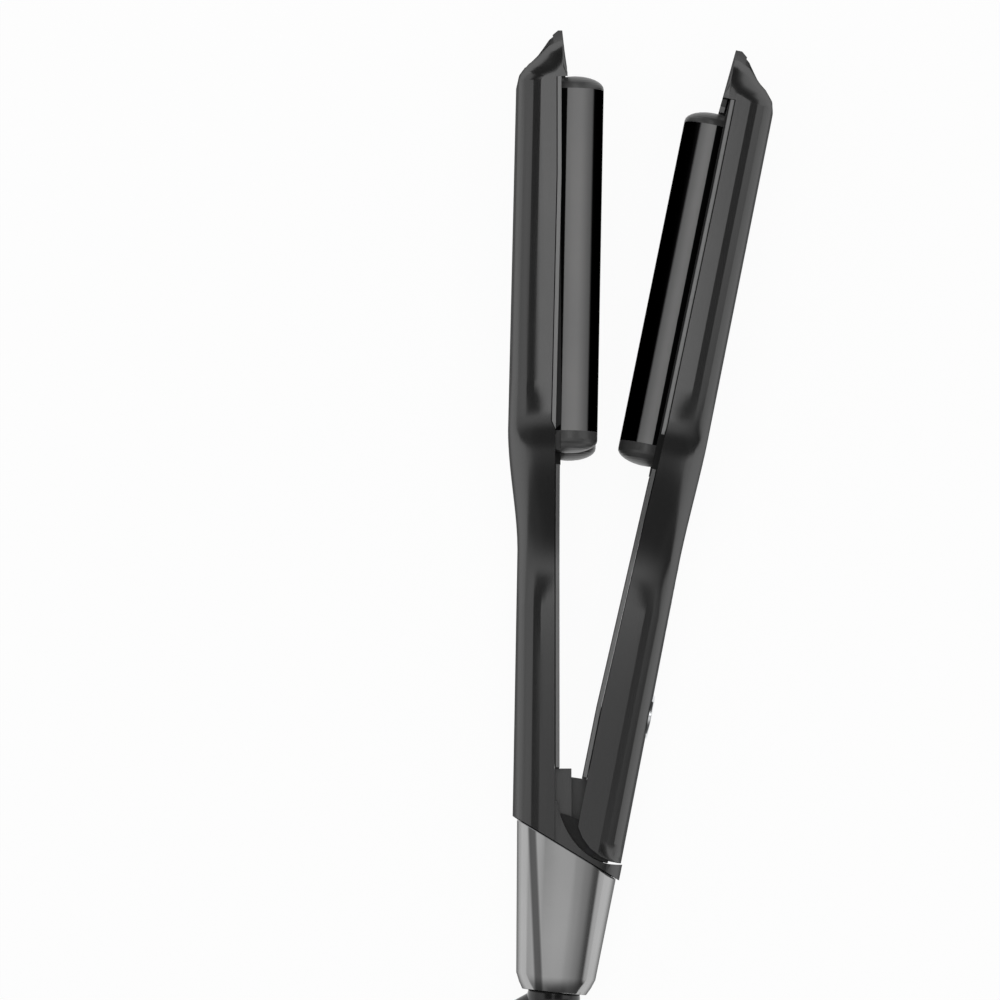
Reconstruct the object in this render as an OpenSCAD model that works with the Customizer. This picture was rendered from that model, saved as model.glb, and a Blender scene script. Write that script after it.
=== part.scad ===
// Triple-barrel hair crimper, lying on its straight side with its arms open.
// Each arm is drawn along +Y from the hinge axis, with its outer face towards +X.

/* [Arms] */
// Hinge axis to the tip of the base arm
base_reach = 287; // [275:1:310]
// Hinge axis to the tip of the lever arm
lever_reach = 284.6; // [273:0.2:308]
// Width of both heads
head_width = 65.6; // [64:0.2:72]
// Width of both handles
handle_width = 34.4; // [32:0.2:40]
// Where the handle starts to widen into the head
neck_low = 97; // [90:1:104]
// Where the head reaches its full width
neck_high = 146; // [140:1:150]
// Angle between the arms when open
open_angle = 11.5; // [9:0.1:13]
// Wall of both shells
wall = 1.8; // [1.4:0.1:2.4]
// How far the shells' long edges are rounded, across the width
edge_round = 7; // [4:0.5:9]
// How far the shells' long edges are rounded, through the thickness
edge_depth = 8; // [4:0.5:9]
// Rise of the outer faces between their rounded edges
face_crown = 0.7; // [0.2:0.1:1.5]

/* [Arm thickness] */
// Inner face of the base arm from the hinge axis
base_face = 10.8; // [10:0.1:12]
// Outer face of the base arm at the hinge
base_out_low = 27.3; // [26:0.1:29]
// Outer face of the base arm at its waist
base_out_waist = 25.4; // [24.6:0.1:27]
// Outer face of the base arm at its shoulder
base_out_shoulder = 28.7; // [27.5:0.1:30]
// Outer face of the base arm where the tip begins
base_out_tip = 25.9; // [25.4:0.1:28]
// Inner face of the lever arm at the hinge
lever_face_low = -7.7; // [-8:0.1:-7]
// Inner face of the lever arm along its head
lever_face_high = -4.6; // [-5:0.1:-4]
// Outer face of the lever arm at the hinge
lever_out_low = 11.4; // [10.8:0.1:13]
// Outer face of the lever arm at its waist
lever_out_waist = 10.6; // [10.2:0.1:12]
// Outer face of the lever arm at its shoulder
lever_out_shoulder = 11.6; // [10.8:0.1:13]
// Outer face of the lever arm where the tip begins
lever_out_tip = 11.3; // [10.8:0.1:13]
// Where the waist of both arms lies
waist = 105; // [98:1:112]

/* [Tips and vents] */
// Length of the sloping tip
tip_length = 22.5; // [20:0.5:26]
// Radius of the tip's two corners
tip_corner = 8; // [5:0.5:10]
// How far the tip's edge falls away 50 mm from its crest
tip_drop = 10.5; // [6:0.5:14]
// Height of the tip's crest
tip_crest = 16; // [12:1:24]
// Fall of the outer face from the start of the tip to its edge
tip_fall_depth = 14.7; // [13.8:0.1:14.9]
// How far the nose stands in from the arm's inner face
nose_proud = 2.6; // [1.8:0.1:3]
// Width of one diamond of the vent
vent_pitch = 4.2; // [3.6:0.1:5]
// Width of a vent rib
vent_rib = 0.7; // [0.6:0.1:1]
// Height of the vent measured from the tip's edge
vent_height = 13; // [11:0.5:14]
// Distance of the vent from the head's two side edges
vent_side = 7.6; // [7:0.1:9]

/* [Barrels] */
// Distance of the side barrels from the sides of the head
barrel_side = 2.5; // [2.2:0.05:2.8]
// Space between neighbouring barrels when the jaws are closed
barrel_apart = 1.2; // [1.1:0.05:1.3]
// Wall of each barrel
barrel_wall = 1.3; // [1:0.1:1.8]
// How far the side barrels lean towards the lever arm
barrel_lean = 1.1; // [0.8:0.1:1.4]
// Depth of the side barrels' axes behind the hinge axis, jaws closed
side_axis = 10.3; // [10:0.1:10.5]
// Depth of the middle barrel's axis behind the hinge axis, jaws closed
middle_axis = 8.7; // [8.5:0.1:9]
// Space between a barrel and the tray behind it
barrel_gap = 0.5; // [0.4:0.05:0.6]
// Space left for the opposite barrel when the jaws close
nest_gap = 1.1; // [0.9:0.1:1.2]
// Length of a barrel's end cap
cap_length = 7.2; // [6.5:0.1:8]
// Height of the dome on an end cap
cap_dome = 4.4; // [3.5:0.1:5]
// Base arm tip to the end of its barrels
base_nose = 20.2; // [18.6:0.1:22]
// Lever arm tip to the end of its barrel
lever_nose = 24.6; // [22:0.1:26]
// Thickness of the light covers on both handles
trim = 1.7; // [1.2:0.1:1.8]
// Thickness of the light strips along both heads
strip = 1.7; // [1.4:0.1:2]

/* [Hinge] */
// Diameter of the hinge pin
pin_d = 4; // [3.6:0.1:4.4]
// Radial clearance of the lever's knuckle on the pin
pin_play = 0.05; // [0.03:0.01:0.08]
// Radius of the knuckles round the pin
knuckle_r = 4.6; // [4.3:0.1:4.8]
// Thickness of each bracket lug
lug = 5.5; // [5:0.1:5.8]
// Side clearance of the lever's knuckle
knuckle_play = 0.5; // [0.4:0.05:0.8]
// Wire of the torsion spring
spring_wire = 1.2; // [1:0.1:1.3]

/* [Controls] */
// Centre of the power button along the lever arm
button_at = 49.7; // [46:0.1:56]
// Outer diameter of the chrome ring round the button
ring_d = 15.4; // [14.6:0.1:16]
// Diameter of the power button
button_d = 12; // [11:0.1:12.2]
// Travel of the power button
button_travel = 0.8; // [0.6:0.1:0.9]
// Lower end of the temperature window
window_low = 70.4; // [68:0.1:74]
// Upper end of the temperature window
window_high = 114.1; // [110:0.1:118]
// Share of the window that is its lit segment
lit_share = 0.24; // [0.2:0.01:0.3]
// Side swing of the temperature window's wave
wave_swing = 2.7; // [2:0.1:3]

/* [Tail and cord] */
// Length of the tail from the hinge axis to its rim
tail_length = 49.2; // [46:0.1:54]
// Side offset of the tail's rim from the hinge axis
tail_offset = 12.6; // [12:0.1:13]
// Tilt of the tail's axis
tail_tilt = 5.9; // [5.4:0.1:6.4]
// Half width of the tail above its rounded end
tail_half = 13.9; // [13.6:0.1:14.4]
// Wall of the tail sleeve
tail_wall = 1.6; // [1.4:0.1:2]
// Radius of the swivel's ball
ball_r = 9.3; // [9:0.1:9.4]
// Radius of the mouth that the ball sits in
mouth_r = 9.9; // [9.8:0.1:10.2]
// Diameter of the swivel's neck
neck_d = 10; // [9:0.2:10.4]
// Radial clearance of the neck in the tail
neck_play = 0.05; // [0.03:0.01:0.08]
// Diameter of the mains lead
cord_d = 6.2; // [5.8:0.1:6.4]
// Length of the strain relief
relief_length = 32; // [28:1:34]

/* [Hidden] */
$fn = 48;

head_middle = head_width / 2;
handle_middle = handle_width / 2;
barrel_d = (head_width - 2 * barrel_side - 2 * barrel_apart) / 3;
barrel_spacing = barrel_d + barrel_apart;
barrel_r = barrel_d / 2;
far = 90;
close_travel = open_angle - barrel_lean;
// An arm is its reach, three inner-face depths, four outer-face depths, the
// share of the tip at which its nose begins, and how far its strips stand back
// from the inner face at their lower and upper ends.
BASE = [
  base_reach, base_face, base_face, base_face,
  base_out_low, base_out_waist, base_out_shoulder, base_out_tip, 0.28, 1.5, -0.5
];
LEVER = [
  lever_reach, lever_face_low, mid(lever_face_low, lever_face_high, 0.8), lever_face_high,
  lever_out_low, lever_out_waist, lever_out_shoulder, lever_out_tip, 0.03, 0.2, 0.2
];
knee = 50;
far_part = 55;
seat = 0.15;
skin_gap = 0.02;
press_gap = 0.02;
overshoot = 6;

function mid(a, b, t) = a + (b - a) * t;
function share(u, a, b) = min(1, max(0, (u - a) / (b - a)));
function smooth(t) = t * t * (3 - 2 * t);
function tip_start(arm) = arm[0] - tip_length;

// Depth of an arm's outer face
function outer(arm, u) =
  u < waist ? mid(arm[4], arm[5], share(u, 0, waist))
  : u < neck_high ? mid(arm[5], arm[6], smooth(share(u, waist, neck_high)))
  : mid(arm[6], arm[7], share(u, neck_high, tip_start(arm)));

// Depth of an arm's inner face
function face(arm, u) =
  u < neck_high ? mid(arm[1], arm[2], share(u, knee, neck_high))
  : mid(arm[2], arm[3], share(u, neck_high, arm[0] - far_part));

// Width of an arm: a swelling curve, closed by a quarter arc
function neck_curve(t) = t < 0.86 ? 1.1 * pow(t, 1.65) : 0.858 + 0.142 * sin(90 * (t - 0.86) / 0.14);
function width(u) = handle_width
  + (head_width - handle_width) * neck_curve(share(u, neck_low, neck_high));

// Edge of the tip, seen square on the face
function corner(d) = d >= tip_corner ? 0 : tip_corner - sqrt(max(0, d * (2 * tip_corner - d)));
function tip_edge(arm, z) =
  arm[0] - tip_drop * pow((z - tip_crest) / 50, 2) - corner(z) - corner(head_width - z);

// Fall of the outer face along the tip, from 0 at its start to 1 at its edge
function tip_fall(t) =
  tip_fall_depth * lookup(t, [[0, 0], [0.2, 0.06], [0.42, 0.25], [0.58, 0.46], [0.84, 0.72], [1, 1]]);
function nose_face(arm, t) = arm[3] - nose_proud * mid(1, 0.4, share(t, arm[8], 1));

// A station is a place along the arm and a share of the tip.
function along(arm, st, z) = st[1] == 0 ? st[0] : st[0] + (tip_edge(arm, z) - st[0]) * st[1];

// Closed ring of the outer face and a straight inner face
function ring(arm, st, inset, inner) =
  let (
    high = outer(arm, st[0]) - tip_fall(st[1]) - inset,
    top = width(st[0]) - inset,
    rz = max(1, edge_round - inset),
    rw = min(edge_depth - inset, 0.7 * (high - inner - face_crown)),
    path = [
      for (j = [0:5]) [high - face_crown - rw * (1 - sin(18 * j)), inset + rz * (1 - cos(18 * j))],
      for (j = [1:4]) [high - face_crown * pow(j / 2.5 - 1, 2), mid(inset + rz, top - rz, j / 5)],
      for (j = [5:-1:0]) [high - face_crown - rw * (1 - sin(18 * j)), top - rz * (1 - cos(18 * j))]
    ],
    last = len(path) - 1
  )
  [
    for (p = path) [p[0], along(arm, st, p[1]), p[1]],
    for (j = [last:-1:0]) [inner, along(arm, st, path[j][1]), path[j][1]]
  ];

// Skin over rings whose first half faces their second half
module skin(rings) {
  n = len(rings[0]);
  m = n / 2;
  last = len(rings) - 1;
  points = [for (r = rings) for (p = r) p];
  sides = [
    for (i = [0:last - 1]) for (j = [0:n - 1])
      let (a = i * n + j, b = i * n + (j + 1) % n)
      each [[a, b, b + n], [a, b + n, a + n]]
  ];
  low = [for (j = [0:m - 2]) each [[j, n - 2 - j, j + 1], [j, n - 1 - j, n - 2 - j]]];
  high = [
    for (j = [0:m - 2])
      let (a = last * n)
      each [[a + j, a + j + 1, a + n - 2 - j], [a + j, a + n - 2 - j, a + n - 1 - j]]
  ];
  polyhedron(points, concat(sides, low, high), convexity = 8);
}

module home() {
  translate([-centre_x, -centre_y, 0]) children();
}
module on_base() {
  mirror([1, 0, 0]) children();
}
module on_lever() {
  rotate([0, 0, -open_angle]) children();
}
module on_jaw() {
  rotate([0, 0, -barrel_lean]) children();
}
// Outline in the width plane, raised through the thickness from low to high
module across(low, high) {
  translate([low, 0, 0]) rotate([90, 0, 90]) linear_extrude(high - low) children();
}
// Cylinder along an arm
module rod(r, from, to) {
  translate([0, from, 0]) rotate([-90, 0, 0]) cylinder(r = r, h = to - from);
}

// ---- Shells ----

end_centre = [9.2, 14.4];
end_radius = 16.8;
end_low = -2.3;
end_steps = 8;
base_end_low = -6;
strip_low = neck_high - 2;
strip_taper = 2.8;
function strip_back(arm, u) = mid(arm[9], arm[10], share(u, neck_high, arm[0] - far_part));
function shell_edge(arm, u) = face(arm, u)
  + mid(trim, strip_back(arm, u) + strip, share(u, strip_low, strip_low + strip_taper));
function end_edge(arm, u) = u > end_centre[1] ? shell_edge(arm, u)
  : max(shell_edge(arm, u), end_centre[0] - sqrt(max(0, pow(end_radius, 2) - pow(u - end_centre[1], 2))));
neck_steps = [for (i = [0:12]) mid(neck_low, neck_high, i / 12)];
function body_stations(low, arm) = concat(
  [for (i = [0:end_steps]) [mid(low, end_centre[1] + 2, smooth(i / end_steps)), 0]],
  [[knee, 0], [mid(knee, neck_low, 0.6), 0]],
  [for (u = neck_steps) if (u < strip_low) [u, 0]],
  [[strip_low, 0], [neck_high, 0], [strip_low + strip_taper, 0], [arm[0] - far_part, 0], [tip_start(arm), 0]]
);
function tip_shares(arm) = concat(
  arm[8] > 0.2 ? [0.2] : [], [arm[8] - 0.01, arm[8]],
  arm[8] > 0.2 ? [] : [0.2], [0.42, 0.58, 0.7, 0.84, 0.93, 1]
);
function shell_inner(arm, st) = st[1] >= arm[8] ? nose_face(arm, st[1]) : end_edge(arm, st[0]);
function cavity_inner(arm, st) = st[1] >= arm[8] + 0.08
  ? nose_face(arm, st[1]) + wall : face(arm, st[0]) - overshoot;

module shell_body(arm, low) {
  skin([
    for (st = concat(body_stations(low, arm), [for (t = tip_shares(arm)) [tip_start(arm), t]]))
      ring(arm, st, 0, shell_inner(arm, st))
  ]);
}
module shell_cavity(arm, low) {
  skin([
    for (st = concat(
      [[low, 0], [knee, 0]],
      [for (u = neck_steps) [u, 0]],
      [[arm[0] - far_part, 0]],
      [for (t = [0, arm[8] + 0.07, arm[8] + 0.08, 0.42, 0.58, 0.74]) [tip_start(arm), t]]
    ))
      ring(arm, st, wall, cavity_inner(arm, st))
  ]);
}
// Band near the tip's edge, as an outline in the width plane
module vent_zone(arm, margin) {
  low = vent_side - margin;
  high = head_width - vent_side + margin;
  polygon([
    for (i = [0:12]) let (z = mid(low, high, i / 12)) [tip_edge(arm, z) - 1.6 + margin, z],
    for (i = [12:-1:0]) let (z = mid(low, high, i / 12)) [tip_edge(arm, z) - vent_height - margin, z]
  ]);
}
// Thin plate just under the outer face of the tip
module tip_plate(arm, outer_inset, inner_inset) {
  low = vent_side - 0.3;
  high = head_width - low;
  skin([
    for (t = [0.3, 0.42, 0.58, 0.84, 0.96])
      let (w = outer(arm, tip_start(arm)) - tip_fall(t) - face_crown, st = [tip_start(arm), t])
      [
        for (i = [0:8]) let (z = mid(low, high, i / 8)) [w - outer_inset, along(arm, st, z), z],
        for (i = [8:-1:0]) let (z = mid(low, high, i / 8)) [w - inner_inset, along(arm, st, z), z]
      ]
  ]);
}
module vent_cut(arm) {
  across(nose_face(arm, 1) + wall, arm[7] + 5) vent_zone(arm, 0);
}
module vent_ribs(arm) {
  slope = 25;
  span = head_width + 2 * vent_height;
  intersection() {
    vent_zone(arm, -seat);
    union() {
      for (s = [-1, 1]) {
        for (i = [-4:ceil(head_width / vent_pitch) + 4]) {
          translate([arm[0] - vent_height / 2, i * vent_pitch]) rotate(s * slope) {
            square([span, vent_rib], center = true);
          }
        }
      }
      difference() {
        vent_zone(arm, 0);
        vent_zone(arm, -0.9);
      }
    }
  }
}
module vent_grille(arm) {
  intersection() {
    tip_plate(arm, 0.3, 1.5);
    across(nose_face(arm, 1) + wall + seat, arm[7] + 5) vent_ribs(arm);
  }
}

// ---- Inner faces: head trim, handle cover and barrel tray ----

tray_low = neck_high - 13;
rim = 1.7;
base_cover_low = 28.6;
lever_cover_low = 31;
prong_low = 24.3;
split_gap = 0.4;
tray_margin = wall + 0.6;

// Plate between the inner face and a depth behind it, seen from the side
module face_plate(arm, low, high, front, back) {
  steps = [low, for (u = [knee, neck_high, arm[0] - far_part]) if (u > low && u < high) u, high];
  linear_extrude(head_width) {
    polygon([
      for (u = steps) [face(arm, u) + front, u],
      for (i = [len(steps) - 1:-1:0]) [face(arm, steps[i]) + back, steps[i]]
    ]);
  }
}
module arm_outline(low, high, inset) {
  steps = [low, for (u = neck_steps) if (u > low && u < high) u, high];
  polygon([for (u = steps) [u, width(u) - inset], [high, inset], [low, inset]]);
}
// Two strips along the head's sides, pointed at their lower ends
module head_trim(arm) {
  high = tip_start(arm) + 0.22 * tip_length * arm[8] - seat;
  steps = [strip_low + seat, neck_high, strip_low + strip_taper, arm[0] - far_part, high];
  difference() {
    intersection() {
      linear_extrude(head_width) {
        polygon([
          for (u = steps) [face(arm, u) + strip_back(arm, u), u],
          for (i = [len(steps) - 1:-1:0]) [shell_edge(arm, steps[i]) - skin_gap, steps[i]]
        ]);
      }
      across(-far, far) arm_outline(strip_low, high, 0);
    }
    across(-far, far) translate([strip_low - 1, rim]) square([high - strip_low + 2, head_width - 2 * rim]);
  }
}
screw_places = [0.05, 0.93];
function screw_at(i) = mid(lever_cover_low, tray_low, screw_places[i]);
screw_r = 1.25;
screw_head_r = 2.4;
module handle_cover(arm, cover_low) {
  difference() {
    intersection() {
      face_plate(arm, cover_low, tray_low - split_gap, 0, trim - skin_gap);
      across(-far, far) arm_outline(cover_low, tray_low - split_gap, 0);
    }
    for (i = [0, 1]) {
      translate([face(arm, screw_at(i)) - 1, screw_at(i), handle_middle]) {
        rotate([0, 90, 0]) cylinder(r = screw_head_r + seat, h = 1 + trim / 2);
        rotate([0, 90, 0]) cylinder(r = screw_r + seat, h = trim + 2);
      }
    }
  }
}
// Screw from the handle cover to the boss that stands up from the shell
module cover_screws(arm) {
  for (i = [0, 1]) {
    translate([face(arm, screw_at(i)) + 0.2, screw_at(i), handle_middle]) rotate([0, 90, 0]) {
      difference() {
        union() {
          cylinder(r = screw_head_r, h = trim / 2 - 0.2);
          cylinder(r = screw_r, h = 9);
        }
        translate([0, 0, -0.1]) cylinder(r = 0.9, h = 0.4, $fn = 6);
      }
    }
  }
}
module screw_bosses(arm) {
  for (i = [0, 1]) {
    depth = face(arm, screw_at(i)) + trim + 0.1;
    translate([depth, screw_at(i), handle_middle]) rotate([0, 90, 0]) {
      difference() {
        cylinder(r = 2.8, h = outer(arm, screw_at(i)) - depth - wall / 2);
        translate([0, 0, -1]) cylinder(r = screw_r + 0.02, h = 9);
      }
    }
  }
}
tray_floor = 1.2;
tray_proud = 0.3;
base_tray_back = side_axis + barrel_r + barrel_gap - tray_low * sin(barrel_lean) + tray_floor;
lever_tray_back = barrel_r + barrel_gap - middle_axis + tray_floor;
tray_tongue = 5.8;
tongue_reach = 6.7;
// Tray, with a tongue that reaches in behind the nose
module tray_block(arm, nose, back) {
  low = tray_low + seat;
  high = min(arm[0] - nose - 1, tip_start(arm) + 0.22 * tip_length * arm[8]);
  intersection() {
    face_plate(arm, low, high, -tray_proud, far);
    across(-far, back) arm_outline(low, high, tray_margin);
  }
  front = nose_face(arm, 0.42) + wall + seat;
  translate([front, high - 2, 2 * tray_margin]) {
    cube([arm[3] + tray_tongue - front, tip_start(arm) + tongue_reach - high + 2, head_width - 4 * tray_margin]);
  }
}
// Space that the three barrels take when the jaws are closed
module barrel_space(side_gap, middle_gap) {
  for (k = [-1, 0, 1]) {
    r = barrel_r + (k == 0 ? middle_gap : side_gap);
    translate([k == 0 ? -middle_axis : -side_axis, 0, head_middle + k * barrel_spacing]) {
      rod(r, neck_low, base_reach + tip_length);
    }
  }
}

// ---- Barrels, caps and heaters ----

base_start = neck_high - 9.6;
lever_start = neck_high - 11.6;
upper_cap = cap_dome + 0.6;
cap_plug = 5;
cap_gap = 0.6;
function barrel_from(start) = start + cap_length;
function barrel_to(arm, nose) = arm[0] - nose - upper_cap;

module at_sides() {
  for (k = [-1, 1]) {
    translate([-side_axis, 0, head_middle + k * barrel_spacing]) children();
  }
}
module at_middle() {
  translate([-middle_axis, 0, head_middle]) children();
}
module barrel(from, to) {
  difference() {
    rod(barrel_r, from, to);
    rod(barrel_r - barrel_wall, from - 1, to + 1);
  }
}
// Half outline of a domed end, grown on all sides
function dome(length, grow) = [
  [barrel_r + grow, 0],
  for (i = [0:7])
    [(barrel_r + grow) * cos(90 * i / 8), length - cap_dome + (cap_dome + grow) * sin(90 * i / 8)],
  [0, length + grow]
];
// Domed cap with its plug in the barrel's end and a foot in the tray
module cap(length, plug, foot_side) {
  plug_r = barrel_r - barrel_wall - seat;
  rotate_extrude() polygon(concat([[0, -plug], [plug_r, -plug], [plug_r, 0]], dome(length, 0)));
  intersection() {
    translate([foot_side > 0 ? 0 : -barrel_r - 1, -5, 0.05]) cube([barrel_r + 1, 10, length - cap_dome + 1.4]);
    cylinder(r = barrel_r + barrel_gap - 0.1, h = length);
  }
}
// Room for the caps of the side barrels in the lever arm
module cap_room() {
  at_sides() {
    translate([0, barrel_to(BASE, base_nose), 0]) rotate([-90, 0, 0]) {
      rotate_extrude() polygon(concat([[0, 0]], dome(upper_cap, cap_gap)));
    }
    translate([0, barrel_from(base_start), 0]) rotate([90, 0, 0]) {
      rotate_extrude() polygon(concat([[0, 0]], dome(cap_length, cap_gap)));
    }
  }
}
// Everything behind an arm's face and inside its wall
module cap_limit(arm) {
  difference() {
    across(face(arm, tray_low) - tray_proud, far) {
      translate([neck_low, -far]) square([far, head_width + 2 * far]);
    }
    across(-far, far) arm_outline(tray_low + seat, neck_high + far, wall + 0.4);
  }
}
module upper_cap_at(arm, nose, foot_side) {
  translate([0, barrel_to(arm, nose), 0]) rotate([-90, 0, 0]) cap(upper_cap, cap_plug, foot_side);
}
module lower_cap_at(start, foot_side) {
  translate([0, barrel_from(start), 0]) rotate([90, 0, 0]) cap(cap_length, cap_plug, foot_side);
}
heater_half = 2;
module heater(from, to) {
  half = sqrt(pow(barrel_r - barrel_wall - 0.2, 2) - pow(heater_half, 2));
  translate([-heater_half, from + cap_plug + 0.2, -half]) {
    cube([2 * heater_half, to - from - 2 * cap_plug - 0.4, 2 * half]);
  }
}

// ---- Tail, hinge bracket and swivel ----

tail_rim = [-tail_offset, -tail_length, handle_middle];
taper_x = 0.098;
taper_z = 0.065;
rim_half = 11.2;
round_depth = 5.5;
step_out = 1.2;
belt_slope = 0.606;
belt_drop = 4.35;
bore_floor = 8;
floor_wall = 3;

// Tail frame: origin at the rim's centre, +Z down and out of the tail
module on_tail() {
  translate(tail_rim) rotate([0, 0, -tail_tilt]) rotate([90, 0, 0]) children();
}
function power(v, e) = sign(v) * pow(abs(v), e);
// Oval rings in the tail frame; each entry is depth, half width, half height
module ovals(list, squareness) {
  count = 36;
  skin([
    for (r = list) [
      for (i = [0:count - 1])
        let (a = -360 * (i + 0.5) / count)
        [r[1] * power(cos(a), squareness), r[2] * power(sin(a), squareness), r[0]]
    ]
  ]);
}
function tail_ring(d, grow) = [
  d, tail_half - taper_x * (d + round_depth) + grow,
  min(handle_middle - 0.1, tail_half - 1.15 - taper_z * (d + round_depth) + grow)
];
module belt_plane(offset, above) {
  translate([0, 0, -far]) linear_extrude(2 * far) {
    polygon([
      [-far, -belt_drop + belt_slope * far + offset], [far, -belt_drop - belt_slope * far + offset],
      [far, above * far * 2], [-far, above * far * 2]
    ]);
  }
}
cradle_centre = [9, 22];
cradle_size = [21, 27];
// Space that the lever's rounded end swings in
module cradle_space(lower) {
  translate([0, 0, -1]) linear_extrude(handle_width + 2) {
    polygon([
      for (i = [0:16]) let (a = 180 + 90 * i / 16)
        [cradle_centre[0] + (cradle_size[0] - lower) * cos(a), cradle_centre[1] + (cradle_size[1] + lower) * sin(a)],
      [40, cradle_centre[1] - cradle_size[1] - lower], [40, 60],
      [cradle_centre[0] - cradle_size[0] + lower, 60]
    ]);
  }
}
tail_top = 66;
collar_low = 20;
collar_top = 22;
module tail_sleeve() {
  difference() {
    on_tail() {
      ovals([
        tail_ring(-tail_top, 0), tail_ring(-round_depth, 0), [-2.4, 12.6, 12.2], [0, rim_half, rim_half]
      ], 0.86);
    }
    belt_plane(-0.3, 1);
    on_tail() {
      ovals([tail_ring(-tail_top - 1, -tail_wall), tail_ring(-bore_floor - floor_wall, -tail_wall)], 0.86);
      translate([0, 0, -bore_floor - floor_wall - 1]) cylinder(r = neck_d / 2 + neck_play, h = floor_wall + 2);
      translate([0, 0, -bore_floor]) cylinder(r = mouth_r, h = bore_floor + 1);
    }
  }
}
lug_low = wall + 1.4;
knuckle_low = lug_low + lug + knuckle_play;
knuckle_high = handle_width - knuckle_low;
lug_side = -6.65;
lug_back = base_face + trim + 0.9;
lug_top = 28.3;
// Side outline of the two lugs that carry the pin
module lug_outline() {
  polygon([
    [-lug_back, -8], [-lug_back, lug_top], [lug_side, lug_top], [lug_side, knuckle_r + 1], [-knuckle_r * 0.7, knuckle_r * 0.72],
    [knuckle_r * 0.9, -2], [knuckle_r, -8]
  ]);
  circle(r = knuckle_r);
}
// ---- Cord: swivel, relief, lead, coil, plug ----

swivel_drop = 2.3;
tail_x = [cos(tail_tilt), -sin(tail_tilt), 0];
tail_down = [-sin(tail_tilt), -cos(tail_tilt), 0];
swivel_centre = tail_rim + tail_down * swivel_drop;
boss_aim = [-0.847, -0.465, -0.258];
boss_length = 13;
boss_r = 6;
aim_turn = atan2(boss_aim[1], boss_aim[0]);
aim_fall = acos(boss_aim[2] / norm(boss_aim));
relief_end = swivel_centre + boss_aim / norm(boss_aim) * (boss_length + relief_length);

// Frame along the boss: origin at the ball's centre, +Z out along the lead
module on_boss() {
  translate(swivel_centre) rotate([0, aim_fall, aim_turn]) children();
}
module cord_swivel() {
  color("#2b2c2e") difference() {
    union() {
      translate(swivel_centre) sphere(r = ball_r, $fn = 48);
      on_tail() translate([0, 0, -bore_floor - floor_wall - 6]) cylinder(r = neck_d / 2, h = 14);
      on_boss() cylinder(r = boss_r, h = boss_length);
    }
    on_tail() translate([0, 0, -bore_floor - floor_wall - 7]) cylinder(r = cord_d / 2, h = 14);
    on_tail() translate([0, 0, -bore_floor - floor_wall - 2.2]) {
      difference() {
        cylinder(r = neck_d, h = 1.4);
        translate([0, 0, -1]) cylinder(r = neck_d / 2 - 0.9, h = 4);
      }
    }
    on_boss() translate([0, 0, boss_length - 8]) cylinder(r = cord_d / 2 + 0.4, h = 9);
  }
}
module swivel_clip() {
  color("#b5b8bb") on_tail() translate([0, 0, -bore_floor - floor_wall - 2.1]) {
    difference() {
      cylinder(r = neck_d / 2 + 2, h = 1.2);
      translate([0, 0, -1]) cylinder(r = neck_d / 2 - 0.85, h = 4);
      translate([0, -2, -1]) cube([20, 4, 4]);
    }
  }
}
module strain_relief() {
  ribs = 6;
  color("#1b1b1c") on_boss() {
      rotate_extrude() {
        polygon([
          [0, boss_length - 7], [cord_d / 2 + 0.4, boss_length - 7], [cord_d / 2 + 0.4, boss_length],
          for (i = [0:ribs - 1])
            let (
              r = mid(boss_r - 0.2, 4.2, i / ribs),
              a = boss_length + relief_length * i / ribs,
              b = relief_length / ribs
            )
            each [[r, a], [r - 0.1, a + 0.6 * b], [r - 0.9, a + 0.65 * b], [r - 0.9, a + 0.95 * b]],
          [4.1, boss_length + relief_length], [0, boss_length + relief_length]
        ]);
      }
  }
}

// Direction of a path at one of its points
function heading(path, i) =
  let (v = path[min(i + 1, len(path) - 1)] - path[max(i - 1, 0)]) v / norm(v);
// Tube swept along a path that never runs straight up; its two ends can be
// cut square to directions of their own
module tube(path, r, sides, first = undef, last = undef) {
  end = len(path) - 1;
  skin([
    for (i = [0:end])
      let (
        t = i == 0 && first != undef ? first : i == end && last != undef ? last : heading(path, i),
        s = cross([0, 0, 1], t), side = s / norm(s), up = cross(t, side) / norm(t)
      )
      [for (j = [0:sides - 1]) let (a = -360 * (j + 0.5) / sides) path[i] + r * (cos(a) * side + sin(a) * up)]
  ]);
}
// Smooth curve through points, with steps of its own between each pair
function spline(p, steps) = [
  for (i = [0:len(p) - 2]) for (k = [0:steps - 1])
    let (
      a = i == 0 ? 2 * p[0] - p[1] : p[i - 1], b = p[i], c = p[i + 1],
      d = i == len(p) - 2 ? 2 * p[i + 1] - p[i] : p[i + 2], t = k / steps
    )
    0.5 * (2 * b + (c - a) * t + (2 * a - 5 * b + 4 * c - d) * t * t + (3 * b - a - 3 * c + d) * t * t * t),
  p[len(p) - 1]
];

tie_thick = 0.8;
coil_pitch = 7.7;
coil_rise = 6.9;
coil_turns = 1.7;
coil_outer = 41;
coil_centre = [-46, -122];
tie_room = 0.15;
coil_floor = cord_d / 2 + tie_thick + tie_room;
coil_start = 155;
coil_layers = 4;
coil_inner = coil_outer - coil_pitch * coil_turns;
layer_turn = coil_turns + 0.5;
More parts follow.
